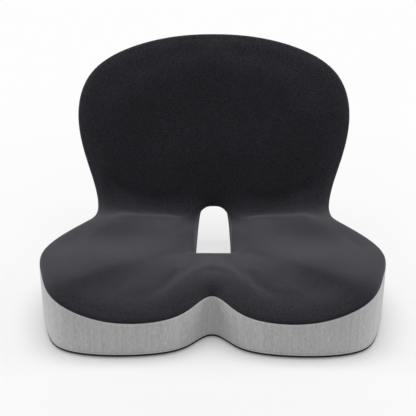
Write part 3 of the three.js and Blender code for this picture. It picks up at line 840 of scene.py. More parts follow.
def stretched(tree, value, low, high, to_low=0.0, to_high=1.0):
    """A value's range from low to high mapped onto another, and clamped."""
    links = {"Value": value, "From Min": low, "From Max": high, "To Min": to_low, "To Max": to_high}
    return add_node(tree, "MapRange", links).outputs["Result"]


def noise(tree, place, scale, detail=2.0, roughness=0.5):
    """Soft noise from 0 to 1 over a place."""
    links = {"Vector": place, "Scale": scale, "Detail": detail, "Roughness": roughness}
    return add_node(tree, "TexNoise", links).outputs["Fac"]


def squeezed(tree, place, by):
    """A place with each of its axes multiplied, which stretches the pattern read from it."""
    return add_node(tree, "Mapping", {"Vector": place, "Scale": by}).outputs["Vector"]


def shade(base, by):
    """A colour times a number, as a node's colour."""
    return tuple(min(1.0, channel * by) for channel in base) + (1.0,)


def mixed(tree, factor, first, second, blend="MIX"):
    """Colour between two others, or their product with the blend MULTIPLY."""
    links = {0: factor, 6: first, 7: second}
    return add_node(tree, "Mix", links, data_type="RGBA", blend_type=blend).outputs[2]


def effect(name, inputs, outputs, build):
    """A named node group for an effect that several materials use."""
    found = bpy.data.node_groups.get(name)
    if found:
        return found
    tree = bpy.data.node_groups.new(name, "ShaderNodeTree")
    for label, kind in inputs:
        tree.interface.new_socket(label, in_out="INPUT", socket_type="NodeSocket" + kind)
    for label in outputs:
        tree.interface.new_socket(label, in_out="OUTPUT", socket_type="NodeSocketFloat")
    start = tree.nodes.new("NodeGroupInput")
    end = tree.nodes.new("NodeGroupOutput")
    for label, socket in build(tree, start.outputs).items():
        tree.links.new(socket, end.inputs[label])
    return tree


def pile_effect():
    """Short standing fibres: fine noise broken by finer noise."""

    def build(tree, given):
        fine = noise(tree, given["Place"], given["Grain"], 3.0, 0.7)
        finer_grain = sum_of(tree, "MULTIPLY", given["Grain"], 2.7)
        finer = noise(tree, given["Place"], finer_grain, 1.0)
        shares = [sum_of(tree, "MULTIPLY", part, by) for part, by in ((fine, 0.7), (finer, 0.3))]
        both = sum_of(tree, "ADD", *shares)
        return {"Mask": stretched(tree, both, 0.36, 0.64), "Height": both}

    return effect("Pile", [("Place", "Vector"), ("Grain", "Float")], ["Mask", "Height"], build)


def drift_effect():
    """Slow uneven patches, as where a pile has been brushed or a dye has taken unevenly."""

    def build(tree, given):
        slow = noise(tree, given["Place"], given["Grain"], 2.0, 0.55)
        return {"Mask": stretched(tree, slow, 0.3, 0.7)}

    return effect("Drift", [("Place", "Vector"), ("Grain", "Float")], ["Mask"], build)


def weave_effect():
    """Plain weave: threads that pass over and under each other, as the product of two sines of
    the first two coordinates, with a little noise so that no two threads are alike."""

    def build(tree, given):
        rate = sum_of(tree, "DIVIDE", math.pi, given["Pitch"])
        parts = add_node(tree, "SeparateXYZ", {0: given["Place"]})
        first = sum_of(tree, "SINE", sum_of(tree, "MULTIPLY", parts.outputs[0], rate), 0.0)
        second = sum_of(tree, "SINE", sum_of(tree, "MULTIPLY", parts.outputs[1], rate), 0.0)
        over = stretched(tree, sum_of(tree, "MULTIPLY", first, second), -1.0, 1.0)
        uneven = noise(tree, given["Place"], sum_of(tree, "DIVIDE", 0.6, given["Pitch"]), 2.0)
        height = sum_of(tree, "ADD", over, sum_of(tree, "MULTIPLY", uneven, 0.35))
        return {"Mask": over, "Height": height}

    return effect("Weave", [("Place", "Vector"), ("Pitch", "Float")], ["Mask", "Height"], build)


def use_effect(tree, group, **given):
    """One use of an effect, with its own values."""
    return add_node(tree, "Group", given, node_tree=group).outputs


def start_material(name, **finish):
    """A new material with constants set on its shader's own sockets, its tree, its shader and
    its object coordinates."""
    material = bpy.data.materials.new(name)
    material.use_nodes = True
    tree = material.node_tree
    shader = tree.nodes["Principled BSDF"]
    for key, value in finish.items():
        shader.inputs[key.replace("_", " ")].default_value = value
    return material, tree, shader, tree.nodes.new("ShaderNodeTexCoord").outputs


def finish_material(tree, shader, base, height=None, strength=0.3, distance=0.0002, rough=None):
    """Links the colour, the bump and, where it changes, the roughness to the shader."""
    tree.links.new(base, shader.inputs["Base Color"])
    if rough is not None:
        tree.links.new(rough, shader.inputs["Roughness"])
    if height is not None:
        links = {"Height": height, "Strength": strength, "Distance": distance}
        bump = add_node(tree, "Bump", links)
        tree.links.new(bump.outputs["Normal"], shader.inputs["Normal"])


def once(build):
    """Makes a material the first time it is asked for, and gives the same one after that."""
    def found_or_made():
        name = "fine_" + build.__name__
        return bpy.data.materials.get(name) or build(name)
    return found_or_made


def colours():
    return bpy.context.scene.cushion_colours


@once
def velour(name):
    """Black short-pile cloth: light and dark fibre tips, slow patches of brushed pile, a sheen."""
    base = colours().velour
    material, tree, shader, place = start_material(
        name, Roughness=0.95, Sheen_Weight=0.23, Sheen_Roughness=0.5, Specular_IOR_Level=0.1
    )
    shader.inputs["Sheen Tint"].default_value = (0.86, 0.86, 0.95, 1)
    pile = use_effect(tree, pile_effect(), Place=place["Object"], Grain=560.0)
    drift = use_effect(tree, drift_effect(), Place=place["Object"], Grain=16.0)
    tips = mixed(tree, pile["Mask"], shade(base, 0.3), shade(base, 2.3))
    patch = mixed(tree, drift["Mask"], shade((1, 1, 1), 0.84), shade((1, 1, 1), 1.0))
    brushed = mixed(tree, 1.0, tips, patch, "MULTIPLY")
    finish_material(tree, shader, brushed, pile["Height"], 0.85, 0.0012)
    return material


@once
def heather(name):
    """Grey heather cloth: light and dark yarns up the band, broken into short flecks, and a
    painted highlight along the folded edge beside each seam."""
    base = colours().heather
    material, tree, shader, place = start_material(
        name, Roughness=0.9, Sheen_Weight=0.2, Sheen_Roughness=0.4, Specular_IOR_Level=0.2
    )
    fine = noise(tree, squeezed(tree, place["UV"], (1, 0.12, 1)), 900.0, 2.0, 0.6)
    flecks = noise(tree, squeezed(tree, place["UV"], (1, 0.4, 1)), 640.0, 3.0, 0.7)
    broad = noise(tree, squeezed(tree, place["UV"], (1, 0.05, 1)), 230.0, 1.0)
    parts = ((fine, 0.45), (flecks, 0.35), (broad, 0.2))
    first, second, third = (sum_of(tree, "MULTIPLY", part, share) for part, share in parts)
    yarn = sum_of(tree, "ADD", sum_of(tree, "ADD", first, second), third)
    weave = use_effect(tree, weave_effect(), Place=place["UV"], Pitch=0.0006)
    mask = stretched(tree, yarn, 0.36, 0.64)
    yarns = mixed(tree, mask, shade(base, 0.76), shade(base, 1.2))
    # Painted highlight: within about 2 mm of a seam the yarns are mixed up to half way to a paler grey,
    # where light would catch the folded edge.
    way = add_node(tree, "Attribute", attribute_name="way_from_seam").outputs["Fac"]
    edge = stretched(tree, way, 0.0004, 0.0022, 0.5, 0.0)
    toned = mixed(tree, edge, yarns, shade(base, 1.5))
    height = sum_of(tree, "ADD", yarn, sum_of(tree, "MULTIPLY", weave["Height"], 0.3))
    finish_material(tree, shader, toned, height, 0.35, 0.0004)
    return material


@once
def grip_cloth(name):
    """Black non-slip base cloth, plainly woven."""
    base = colours().grip_cloth
    material, tree, shader, place = start_material(name, Roughness=0.85, Specular_IOR_Level=0.3)
    weave = use_effect(tree, weave_effect(), Place=place["Object"], Pitch=0.0011)
    drift = use_effect(tree, drift_effect(), Place=place["Object"], Grain=30.0)
    threads = mixed(tree, weave["Mask"], shade(base, 0.6), shade(base, 1.5))
    rough = stretched(tree, drift["Mask"], 0.0, 1.0, 0.78, 0.92)
    finish_material(tree, shader, threads, weave["Height"], 0.5, 0.0003, rough)
    return material


@once
def silicone(name):
    """Soft dark silicone of the grip dots, a little dusty on top."""
    base = colours().grip_dot
    material, tree, shader, place = start_material(name, Roughness=0.42)
    drift = use_effect(tree, drift_effect(), Place=place["Object"], Grain=420.0)
    dusty = mixed(tree, drift["Mask"], shade(base, 0.8), shade(base, 1.5))
    rough = stretched(tree, drift["Mask"], 0.0, 1.0, 0.34, 0.6)
    finish_material(tree, shader, dusty, drift["Mask"], 0.15, 0.0001, rough)
    return material


@once
def foam(name):
    """Open-cell foam: pores of uneven size in a warm cream skin, with painted shade in the pores."""
    base = colours().foam
    material, tree, shader, place = start_material(
        name, Roughness=0.9, Subsurface_Weight=0.15, Specular_IOR_Level=0.2
    )
    pores = add_node(tree, "TexVoronoi", {"Vector": place["Object"], "Scale": 620.0})
    depth = stretched(tree, pores.outputs["Distance"], 0.05, 0.55)
    drift = use_effect(tree, drift_effect(), Place=place["Object"], Grain=22.0)
    skin_tone = mixed(tree, drift["Mask"], shade(base, 0.9), shade(base, 1.05))
    # Painted shade: towards the middle of each pore, where the bump sinks, the colour darkens to 0.6 of
    # the skin's.
    toned = mixed(tree, depth, shade(base, 0.6), skin_tone)
    finish_material(tree, shader, toned, depth, 0.5, 0.0005)
    return material


@once
def liner_knit(name):
    """Thin pale knit over the foam."""
    base = colours().liner
    material, tree, shader, place = start_material(name, Roughness=0.88, Sheen_Weight=0.1)
    drawn = squeezed(tree, place["Object"], (1, 0.6, 1))
    weave = use_effect(tree, weave_effect(), Place=drawn, Pitch=0.0012)
    drift = use_effect(tree, drift_effect(), Place=place["Object"], Grain=18.0)
    loops = mixed(tree, weave["Mask"], shade(base, 0.78), shade(base, 1.06))
    worn = mixed(tree, drift["Mask"], loops, shade(base, 0.97))
    finish_material(tree, shader, worn, weave["Height"], 0.4, 0.0003)
    return material


def thread_material(name, base):
    """Twisted thread: plies that wind round it, as noise drawn out across them."""
    material, tree, shader, place = start_material(name, Roughness=0.62, Sheen_Weight=0.15)
    plies = noise(tree, squeezed(tree, place["Object"], (1, 1, 0.6)), 2600.0, 1.0)
    twist = stretched(tree, plies, 0.35, 0.65)
    wound = mixed(tree, twist, shade(base, 0.7), shade(base, 1.35))
    finish_material(tree, shader, wound, twist, 0.5, 0.0001)
    return material


@once
def band_thread(name):
    """Grey sewing thread."""
    return thread_material(name, colours().thread)


@once
def dark_thread(name):
    """Black sewing thread."""
    return thread_material(name, colours().dark_thread)


def zip_place(tree, place):
    """Object coordinates turned into the plane of the zip: along it, then up the face."""
    links = {"Vector": place["Object"], "Rotation": (-zip_slope, 0, 0)}
    return add_node(tree, "Mapping", links).outputs["Vector"]


@once
def tape_weave(name):
    """Herringbone tape of the zip: ribs that lean one way and the other in turn."""
    base = colours().tape
    material, tree, shader, place = start_material(name, Roughness=0.8, Specular_IOR_Level=0.35)
    on_face = zip_place(tree, place)
    weave = use_effect(tree, weave_effect(), Place=on_face, Pitch=0.0007)
    parts = add_node(tree, "SeparateXYZ", {0: on_face})
    zigzag = sum_of(tree, "PINGPONG", parts.outputs[1], 0.0016)
    slanted = sum_of(tree, "ADD", parts.outputs[0], zigzag)
    ribs = sum_of(tree, "SINE", sum_of(tree, "MULTIPLY", slanted, 2 * math.pi / 0.0012), 0.0)
    mask = stretched(tree, ribs, -1.0, 1.0)
    height = sum_of(tree, "ADD", mask, sum_of(tree, "MULTIPLY", weave["Height"], 0.4))
    ribbed = mixed(tree, mask, shade(base, 0.55), shade(base, 2.1))
    finish_material(tree, shader, ribbed, height, 0.5, 0.0002)
    return material


@once
def nylon(name):
    """Moulded nylon of the coil, slightly scuffed on its crowns."""
    base = colours().coil
    material, tree, shader, place = start_material(name, Roughness=0.38)
    drift = use_effect(tree, drift_effect(), Place=place["Object"], Grain=700.0)
    scuffed = mixed(tree, drift["Mask"], shade(base, 0.8), shade(base, 1.8))
    rough = stretched(tree, drift["Mask"], 0.0, 1.0, 0.3, 0.52)
    finish_material(tree, shader, scuffed, drift["Mask"], 0.12, 0.0001, rough)
    return material


@once
def enamel(name):
    """Black enamel on zinc: an even gloss with orange peel and a few bare worn specks."""
    base = colours().enamel
    material, tree, shader, place = start_material(
        name, Metallic=0.35, Coat_Weight=0.3, Coat_Roughness=0.2, Specular_IOR_Level=0.5
    )
    peel = noise(tree, place["Object"], 1500.0, 1.0)
    worn = stretched(tree, noise(tree, place["Object"], 900.0, 4.0, 0.75), 0.66, 0.72)
    body = mixed(tree, worn, shade(base, 1.0), (0.35, 0.34, 0.33, 1))
    rough = stretched(tree, peel, 0.3, 0.7, 0.24, 0.42)
    finish_material(tree, shader, body, peel, 0.1, 0.0001, rough)
    return material


@once
def satin(name):
    """White satin of the care label, woven much finer one way than the other."""
    base = colours().label
    material, tree, shader, place = start_material(
        name, Roughness=0.5, Sheen_Weight=0.2, Specular_IOR_Level=0.4
    )
    weave = use_effect(tree, weave_effect(), Place=zip_place(tree, place), Pitch=0.0005)
    drift = use_effect(tree, drift_effect(), Place=place["Object"], Grain=120.0)
    cloth = mixed(tree, weave["Mask"], shade(base, 0.86), shade(base, 1.05))
    aged = mixed(tree, drift["Mask"], cloth, shade(base, 0.96))
    finish_material(tree, shader, aged, weave["Height"], 0.25, 0.0002)
    return material


# ---------------------------------------------------------------- operators: foam and cloth
class CUSHION_OT_foam(bpy.types.Operator):
    """Moulded foam block, inside its liner and cover"""

    bl_idname = "cushion.make_foam"
    bl_label = "Foam Core"

    def execute(self, context):
        skin = the_skin()
        rings = coarse_rings(skin, np.arange(len(skin.points)))
        points = at_depth(skin, rings, FOAM_DEPTH)
        quads = grid_quads(*points.shape[:2], True, True)
        mesh = make_mesh("foam_block", points.reshape(-1, 3), quads)
        piece = add_piece("foam_block", mesh, foam(), "cushion", "foam", "foam_core")
        return {"FINISHED"}


def coarse_rings(skin, rings):
    """The rings on the seams and those clear of them, for a ply too deep to follow a seam."""
    on_seam = np.isin(rings, list(skin.places.values()))
    return rings[on_seam | (skin.to_seam[rings].mean(1) >= CLEAR_OF_SEAM * 0.99)]


class CUSHION_OT_liners(bpy.types.Operator):
    """Upper and lower half of the knitted liner"""

    bl_idname = "cushion.make_liners"
    bl_label = "Liner"

    def execute(self, context):
        skin = the_skin()
        halves = (
            ("liner_over_foam", "base_seam", "slot_corner", "liner_upper"),
            ("liner_under_foam", "slot_corner", "base_seam", "liner_lower"),
        )
        for name, start, end, node in halves:
            rings = coarse_rings(skin, skin.between(start, end))
            outer = at_depth(skin, rings, LINER_DEPTH)
            inner = at_depth(skin, rings, LINER_DEPTH + LINER)
            mesh = shell(name, outer, inner)
            add_piece(name, mesh, liner_knit(), "cushion", "liner_knit", node)
        return {"FINISHED"}


class CUSHION_OT_top_panel(bpy.types.Operator):
    """Velour over the seat and the front of the back"""

    bl_idname = "cushion.make_top_panel"
    bl_label = "Top Panel"

    def execute(self, context):
        add_panel("cover_top", "top_seam", "slot_seam", velour(), "velour", "top_panel")
        return {"FINISHED"}


class CUSHION_OT_side_band(bpy.types.Operator):
    """Grey heather band round the edge"""

    bl_idname = "cushion.make_side_band"
    bl_label = "Side Band"

    def execute(self, context):
        add_panel("cover_band", "base_seam", "top_seam", heather(), "heather_band", "side_band")
        return {"FINISHED"}


class CUSHION_OT_slot_lining(bpy.types.Operator):
    """Velour tube through the relief slot"""

    bl_idname = "cushion.make_slot_lining"
    bl_label = "Slot Lining"

    def execute(self, context):
        add_panel("cover_slot", "slot_seam", "slot_corner", velour(), "velour", "slot_lining")
        return {"FINISHED"}


# ---------------------------------------------------------------- operators: the lower sheet
PANEL_GAP = 0.3
WINDOW_HALF = np.array([ZIP_LENGTH / 2 + PANEL_GAP, ZIP_WINDOW / 2])
GROOVE_STEPS = (0, 0.5, 1.1, 1.8, 2.6)
CLEAR_OF_HEEL = 40  # how far above the heel seam the cloth follows the zip's seams
DOTS_FROM_EDGE = 16
DOTS_FROM_SLOT = 7


def lower_sheet():
    """The outside of the base and the rear face as one sheet, cut along the heel seam, the zip's
    line and the window round the zip, with extra lines beside each cut."""
    skin = the_skin()
    rings = skin.between("slot_corner", "base_seam")
    points = outside(skin, rings)
    mesh = make_mesh("lower_sheet", points.reshape(-1, 3), grid_quads(*points.shape[:2]))
    sheet = bmesh.new()
    sheet.from_mesh(mesh)
    bpy.data.meshes.remove(mesh)
    cuts = []
    for step in GROOVE_STEPS:
        for sign in (1, -1):
            cuts.append((Vector((0, 0, (HEEL_SEAM + sign * step) * MM)), Vector((0, 0, 1))))
            cuts.append((from_zip(np.array([0, sign * step, 0])), ZIP_AXES[1]))
            for way in (1, -1):
                corner = np.array([sign * (WINDOW_HALF[0] + step), way * (WINDOW_HALF[1] + step), 0])
                cuts.append((from_zip(corner), ZIP_AXES[0]))
                cuts.append((from_zip(corner), ZIP_AXES[1]))
    for place, normal in cuts:
        everything = sheet.verts[:] + sheet.edges[:] + sheet.faces[:]
        bmesh.ops.bisect_plane(
            sheet, geom=everything, plane_co=Vector(place), plane_no=Vector(normal), dist=2e-6
        )
    return sheet


def groove_depth(points):
    """How far the cloth turns in beside the heel seam, the zip's line and the zip's window."""
    sizes = bpy.context.scene.cushion_sizes
    width = sizes.seam_width / MM
    in_zip = to_zip(points)
    on_rear = points[:, 2] / MM > HEEL_SEAM + CLEAR_OF_HEEL
    past = np.maximum(np.abs(in_zip[:, :2]) - WINDOW_HALF, 0)
    from_window = np.where(on_rear, np.hypot(past[:, 0], past[:, 1]), np.inf)
    beyond = on_rear & (np.abs(in_zip[:, 0]) > WINDOW_HALF[0])
    from_line = np.where(beyond, np.abs(in_zip[:, 1]), np.inf)
    from_heel = np.abs(points[:, 2] / MM - HEEL_SEAM)
    nearest = np.minimum(np.minimum(from_window, from_line), from_heel)
    turned_in = np.clip(1 - nearest / width, 0, 1)
    return sizes.seam_depth * (1 - np.sqrt(1 - turned_in**2))


def add_lower_panel(name, keeps, material, slot, node):
    """One panel of the lower sheet: its faces whose middles pass the test, turned in at the
    seams and given the cloth's thickness inwards."""
    sheet = lower_sheet()
    sheet.normal_update()
    middles = np.array([face.calc_center_median() for face in sheet.faces])
    doomed = [face for face, kept in zip(sheet.faces[:], keeps(middles)) if not kept]
    points = np.array([vertex.co for vertex in sheet.verts])
    normals = np.array([vertex.normal for vertex in sheet.verts])
    moved = points - normals * groove_depth(points)[:, None]
    for vertex, place in zip(sheet.verts, moved.tolist()):
        vertex.co = place
    bmesh.ops.delete(sheet, geom=doomed, context="FACES")
    mesh = bpy.data.meshes.new(name)
    sheet.to_mesh(mesh)
    sheet.free()
    mesh.shade_smooth()
    piece = add_piece(name, mesh, material, "cushion", slot, node)
    wall = piece.modifiers.new("cloth", "SOLIDIFY")
    wall.thickness = (COVER - PANEL_GAP) * MM
    wall.offset = -1
    return piece


def in_window(points):
    in_zip = to_zip(points)
    return (np.abs(in_zip[:, 0]) < WINDOW_HALF[0]) & (np.abs(in_zip[:, 1]) < WINDOW_HALF[1])


def is_base(points):
    return points[:, 2] < HEEL_SEAM * MM


def is_rear_lower(points):
    return ~is_base(points) & ~in_window(points) & (to_zip(points)[:, 1] < 0)


def is_rear_upper(points):
    return ~is_base(points) & ~in_window(points) & (to_zip(points)[:, 1] > 0)


class CUSHION_OT_base_panel(bpy.types.Operator):
    """Non-slip cloth under the seat"""

    bl_idname = "cushion.make_base_panel"
    bl_label = "Base Panel"

    def execute(self, context):
        piece = add_lower_panel("cover_base", is_base, grip_cloth(), "grip_cloth", "base_panel")
        return {"FINISHED"}


class CUSHION_OT_rear_panels(bpy.types.Operator):
    """Velour over the rear face, below and above the zip"""

    bl_idname = "cushion.make_rear_panels"
    bl_label = "Rear Panels"

    def execute(self, context):
        for name, keeps, node in (
            ("cover_rear_lower", is_rear_lower, "back_panel_lower"),
            ("cover_rear_upper", is_rear_upper, "back_panel_upper"),
        ):
            add_lower_panel(name, keeps, velour(), "velour", node)
        return {"FINISHED"}


class CUSHION_OT_grip_dots(bpy.types.Operator):
    """Small silicone dots in rows under the base panel"""

    bl_idname = "cushion.make_grip_dots"
    bl_label = "Grip Dots"

    def execute(self, context):
        sizes = context.scene.cushion_sizes
        skin = the_skin()
        edge = to_frame(lower(*skin.inset(DOTS_FROM_EDGE + 0 * skin.level).T, 0))[:, :2]
        hole = to_frame(lower(*(skin.slot_foot - skin.slot_in * DOTS_FROM_SLOT).T, 0))[:, :2]
        pitch = sizes.dot_pitch
        low = edge.min(0)
        high = edge.max(0)
        x = np.arange(0, high[0], pitch)
        x = np.concatenate([-x[:0:-1], x])
        y = np.arange(low[1], high[1], pitch * math.sqrt(3) / 2)
        row = np.arange(len(y))[:, None]
        grid = np.stack(np.broadcast_arrays(x + (row % 2) * pitch / 2, y[:, None]), -1).reshape(-1, 2)
        run = grid[:, 1] / MM - CONTOUR_SHIFT[1]
        flat = lower(0, run, 0)[:, 2] < 0.05
        grid = grid[inside(grid, edge) & ~inside(grid, hole) & flat & (run < SEAT_RUN + 8)]
        half_height = sizes.base_lift
        middles = np.column_stack([grid, np.full(len(grid), half_height)])
        shape, faces = round_block(2, 2)
        axes = np.broadcast_to(np.eye(3), (len(grid), 3, 3))
        half = np.array([sizes.dot_width / 2, sizes.dot_width / 2, half_height])
        points, quads = scatter(shape, faces, middles, axes, half)
        mesh = make_mesh("grip_dots", points, quads)
        add_piece("grip_dots", mesh, silicone(), "cushion", "grip_cloth")
        return {"FINISHED"}


def inside(points, polygon):
    """Whether each point is inside a closed polygon: a level ray from it crosses an odd number
    of the polygon's sides."""
    start = polygon[None]
    end = np.roll(polygon, -1, 0)[None]
    x, y = points[:, None, 0], points[:, None, 1]
    spans = (start[..., 1] > y) != (end[..., 1] > y)
    rise = end[..., 1] - start[..., 1]
    rise = np.where(rise == 0, 1e-12, rise)
    crossing = start[..., 0] + (y - start[..., 1]) / rise * (end[..., 0] - start[..., 0])
    return (spans & (x < crossing)).sum(1) % 2 == 1


# ---------------------------------------------------------------- operators: sewing
def ring_at(skin, ring, way):
    """Points and normals round the band, at a distance up from a ring towards the next seam."""
    start, end = skin.points[skin.places["base_seam"]], skin.points[skin.places["top_seam"]]
    up = unit(end - start)
    points = skin.points[ring] + up * way
    nearest = skin.places["base_seam"] + np.searchsorted(BY_SEAM, way)
    return to_frame(points), unit(skin.outward[nearest])


class CUSHION_OT_stitches(bpy.types.Operator):
    """Rows of stitches beside the base seam and round the zip"""

    bl_idname = "cushion.make_stitches"
    bl_label = "Stitches"

    def execute(self, context):
        sizes = context.scene.cushion_sizes
        skin = the_skin()
        inset = sizes.stitch_inset / MM
        line, normals = ring_at(skin, skin.places["base_seam"], inset)
        add_stitches("band_stitches", [(line, normals, True)], band_thread(), "heather_band")
        lines = []
        half = WINDOW_HALF + inset
        for sign in (1, -1):
            row = np.array([[-half[0], sign * half[1], 0], [half[0], sign * half[1], 0]])
            lines.append((from_zip(row), np.repeat(ZIP_AXES[2:], 2, 0), False))
            end = np.array([[sign * half[0], -half[1] + 2, 0], [sign * half[0], half[1] - 2, 0]])
            lines.append((from_zip(end), np.repeat(ZIP_AXES[2:], 2, 0), False))
        add_stitches("zip_stitches", lines, dark_thread(), "velour")
        return {"FINISHED"}


# ---------------------------------------------------------------- operators: the zip
ROW_WIDTH = (CHAIN_WIDTH - RUNNING_GAP) / 2
ROW_MIDDLE = (ROW_WIDTH + RUNNING_GAP) / 2
STOP_LENGTH = 4
CHAIN_LENGTH = ZIP_LENGTH - 2 * STOP_LENGTH - 4 * RUNNING_GAP


def tube(line, side_way, radius, sides):
    """A round tube along a line: at each point, a circle across the line's direction, started
    from the given sideways direction. Both ends are closed by one flat face."""
    along = unit(np.gradient(line, axis=0))
    across = unit(side_way - (side_way * along).sum(-1, keepdims=True) * along)
    third = np.cross(along, across)
    angle = np.arange(sides) * 2 * math.pi / sides
    circle = np.cos(angle)[:, None] * across[:, None] + np.sin(angle)[:, None] * third[:, None]
    points = (line[:, None] + radius * circle).reshape(-1, 3)
    caps = np.array([np.arange(sides)[::-1], np.arange(sides) + len(points) - sides])
    return points, grid_quads(len(line), sides), caps


class CUSHION_OT_zip_coil(bpy.types.Operator):
    """Both rows of the zip's nylon coil, each one flattened helix"""

    bl_idname = "cushion.make_zip_coil"
    bl_label = "Zip Coil"

    def execute(self, context):
        sizes = context.scene.cushion_sizes
        pitch = sizes.coil_pitch / MM
        wire = sizes.coil_wire / MM / 2
        turns = int(CHAIN_LENGTH / pitch) - 1
        angle = np.linspace(0, 2 * math.pi * turns, turns * 12 + 1)
        for name, sign, node in (("upper", 1, "zip_chain_upper"), ("lower", -1, "zip_chain_lower")):
            lead = pitch * angle / (2 * math.pi) - pitch * turns / 2 + sign * pitch / 4
            head = 0.1575 * pitch * np.clip(1.6 * np.cos(angle), -1, 1)
            across = sign * (ROW_MIDDLE - (ROW_WIDTH / 2 - wire + 0.15) * np.cos(angle))
            up = CHAIN_HEIGHT / 2 + (CHAIN_HEIGHT / 2 - wire) * np.clip(1.25 * np.sin(angle), -1, 1)
            line = np.stack([lead + head, across, up], -1)
            middle = np.stack([lead, 0 * lead + sign * ROW_MIDDLE, 0 * lead + CHAIN_HEIGHT / 2], -1)
            points, quads, caps = tube(line, line - middle, wire, 6)
            mesh = make_mesh("coil_" + name, from_zip(points), quads, caps)
            add_piece("coil_" + name, mesh, nylon(), "cushion", "zip_coil", node)
        return {"FINISHED"}


class CUSHION_OT_zip_tapes(bpy.types.Operator):
    """Woven finish of the two tapes, which keep their CAD shape"""

    bl_idname = "cushion.finish_zip_tapes"
    bl_label = "Zip Tapes"

    def execute(self, context):
        for node in ("zip_tape_upper", "zip_tape_lower"):
            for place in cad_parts[node].material_slots:
                place.link = "OBJECT"
                place.material = tape_weave()
        return {"FINISHED"}


def block(middle, half_sizes, power=5, steps=6):
    """One round-edged block in the zip's frame: its points in metres and its faces."""
    shape, faces = round_block(steps, power)
    return from_zip(shape * half_sizes + middle), faces


def joined(name, parts):
    """One mesh of several closed parts, each given as points and faces."""
    points, faces, count = [], [], 0
    for part_points, part_faces in parts:
        points.append(part_points)
        faces.append(part_faces + count)
        count += len(part_points)
    return make_mesh(name, np.vstack(points), np.vstack(faces))


class CUSHION_OT_zip_stops(bpy.types.Operator):
    """Crimped metal stops at both ends of the coil"""

    bl_idname = "cushion.make_zip_stops"
    bl_label = "Zip Stops"

    def execute(self, context):
        for name, sign in (("closed", -1), ("open", 1)):
            x = sign * (ZIP_LENGTH / 2 - RUNNING_GAP - STOP_LENGTH / 2)
            parts = [block([x, 0, CHAIN_HEIGHT * 0.52], [STOP_LENGTH / 2, 3.1, 0.86])]
            for way in (-1, 1):
                claw = [STOP_LENGTH / 2 - 0.4, 0.55, 0.9]
                parts.append(block([x, way * 2.55, CHAIN_HEIGHT * 0.5], claw, 3.5))
            mesh = joined("stop_" + name, parts)
            add_piece("stop_" + name, mesh, enamel(), "cushion", "zip_metal", "zip_stop_" + name)
        return {"FINISHED"}


SLIDER_X = float(to_zip(middle_of("zip_slider"))[0])
PLATE_FOOT = CHAIN_HEIGHT + RUNNING_GAP
SLIDER_WALL = 1.2
PULL_PIN = 1.6
PLATE_TOP = PLATE_FOOT + SLIDER_WALL
BAR_HEIGHT = PLATE_TOP + RUNNING_GAP + PULL_PIN * math.sqrt(0.5)
# The pull's tab, from the bar it turns on: the middle and half length of its outline, its half
# widths at its root and more along its grip, and its round far end.
TAB_MIDDLE, TAB_HALF_LENGTH = 13.6, 13.3
TAB_ROOT, TAB_WIDENING = 2.35, 1.6
TAB_END_MIDDLE, TAB_END_RADIUS, TAB_END_FLATNESS = 23.1, 3.9, 3.8
LABEL_WIDTH = 22.0
LABEL_DROP = 34.0


def ring_plate(outer, hole, low, high, bevel):
    """A flat plate with rounded edges between an outer outline and a hole with as many points:
    six rings from the outer edge over the top to the hole and back underneath. A hole closed to
    a point gives a whole plate."""
    middle = (outer + hole) / 2
    out = unit(outer - middle)
    inn = unit(middle - hole) if np.ptp(hole) > 0 else np.zeros_like(hole)
    rings = []
    for inset, z in ((0, low + bevel), (0, high - bevel), (bevel, high)):
        rings.append((outer - out * inset, z))
    for inset, z in ((bevel, high), (0, high - bevel), (0, low + bevel), (bevel, low)):
        rings.append((hole + inn * inset, z))
    rings.append((outer - out * bevel, low))
    points = np.stack([np.column_stack([xy, np.full(len(xy), z)]) for xy, z in rings])
    quads = grid_quads(*points.shape[:2], True, True)
    return points.reshape(-1, 3), quads


def rounded_outline(half_length, half_width, power, count, waist=0.0):
    """A closed outline: a superellipse, drawn in at its middle by the waist's share."""
    angle = np.arange(count) * 2 * math.pi / count
    x = np.sign(np.cos(angle)) * np.abs(np.cos(angle)) ** (2 / power)
    y = np.sign(np.sin(angle)) * np.abs(np.sin(angle)) ** (2 / power)
    return np.stack([half_length * x, half_width * y * (1 - waist * (1 - x * x))], -1)


class CUSHION_OT_zip_slider(bpy.types.Operator):
    """Slider: a waisted top plate with a flange down each side and two ears for the pull"""

    bl_idname = "cushion.make_zip_slider"
    bl_label = "Zip Slider"

    def execute(self, context):
        outline = rounded_outline(6.45, 5.2, 3.4, 64, 0.12)
        slit = rounded_outline(1.2, 0.5, 2.4, 64)
        points, quads = ring_plate(outline, slit, PLATE_FOOT, PLATE_TOP, 0.34)
        parts = [(from_zip(points + [SLIDER_X, 0, 0]), quads)]
        flange_foot = RUNNING_GAP + 0.02
        flange_height = PLATE_TOP - 0.2 - flange_foot
        for way in (-1, 1):
            middle = [SLIDER_X, way * 4.45, flange_foot + flange_height / 2]
            parts.append(block(middle, [5.9, 0.52, flange_height / 2], 6))
            ear = [SLIDER_X, way * 3.4, PLATE_TOP + 1.75]
            parts.append(block(ear, [2.15, 0.68, 2.0], 4))
        mesh = joined("slider_body", parts)
        add_piece("slider_body", mesh, enamel(), "zip_slider", "zip_metal", "zip_slider")
        return {"FINISHED"}


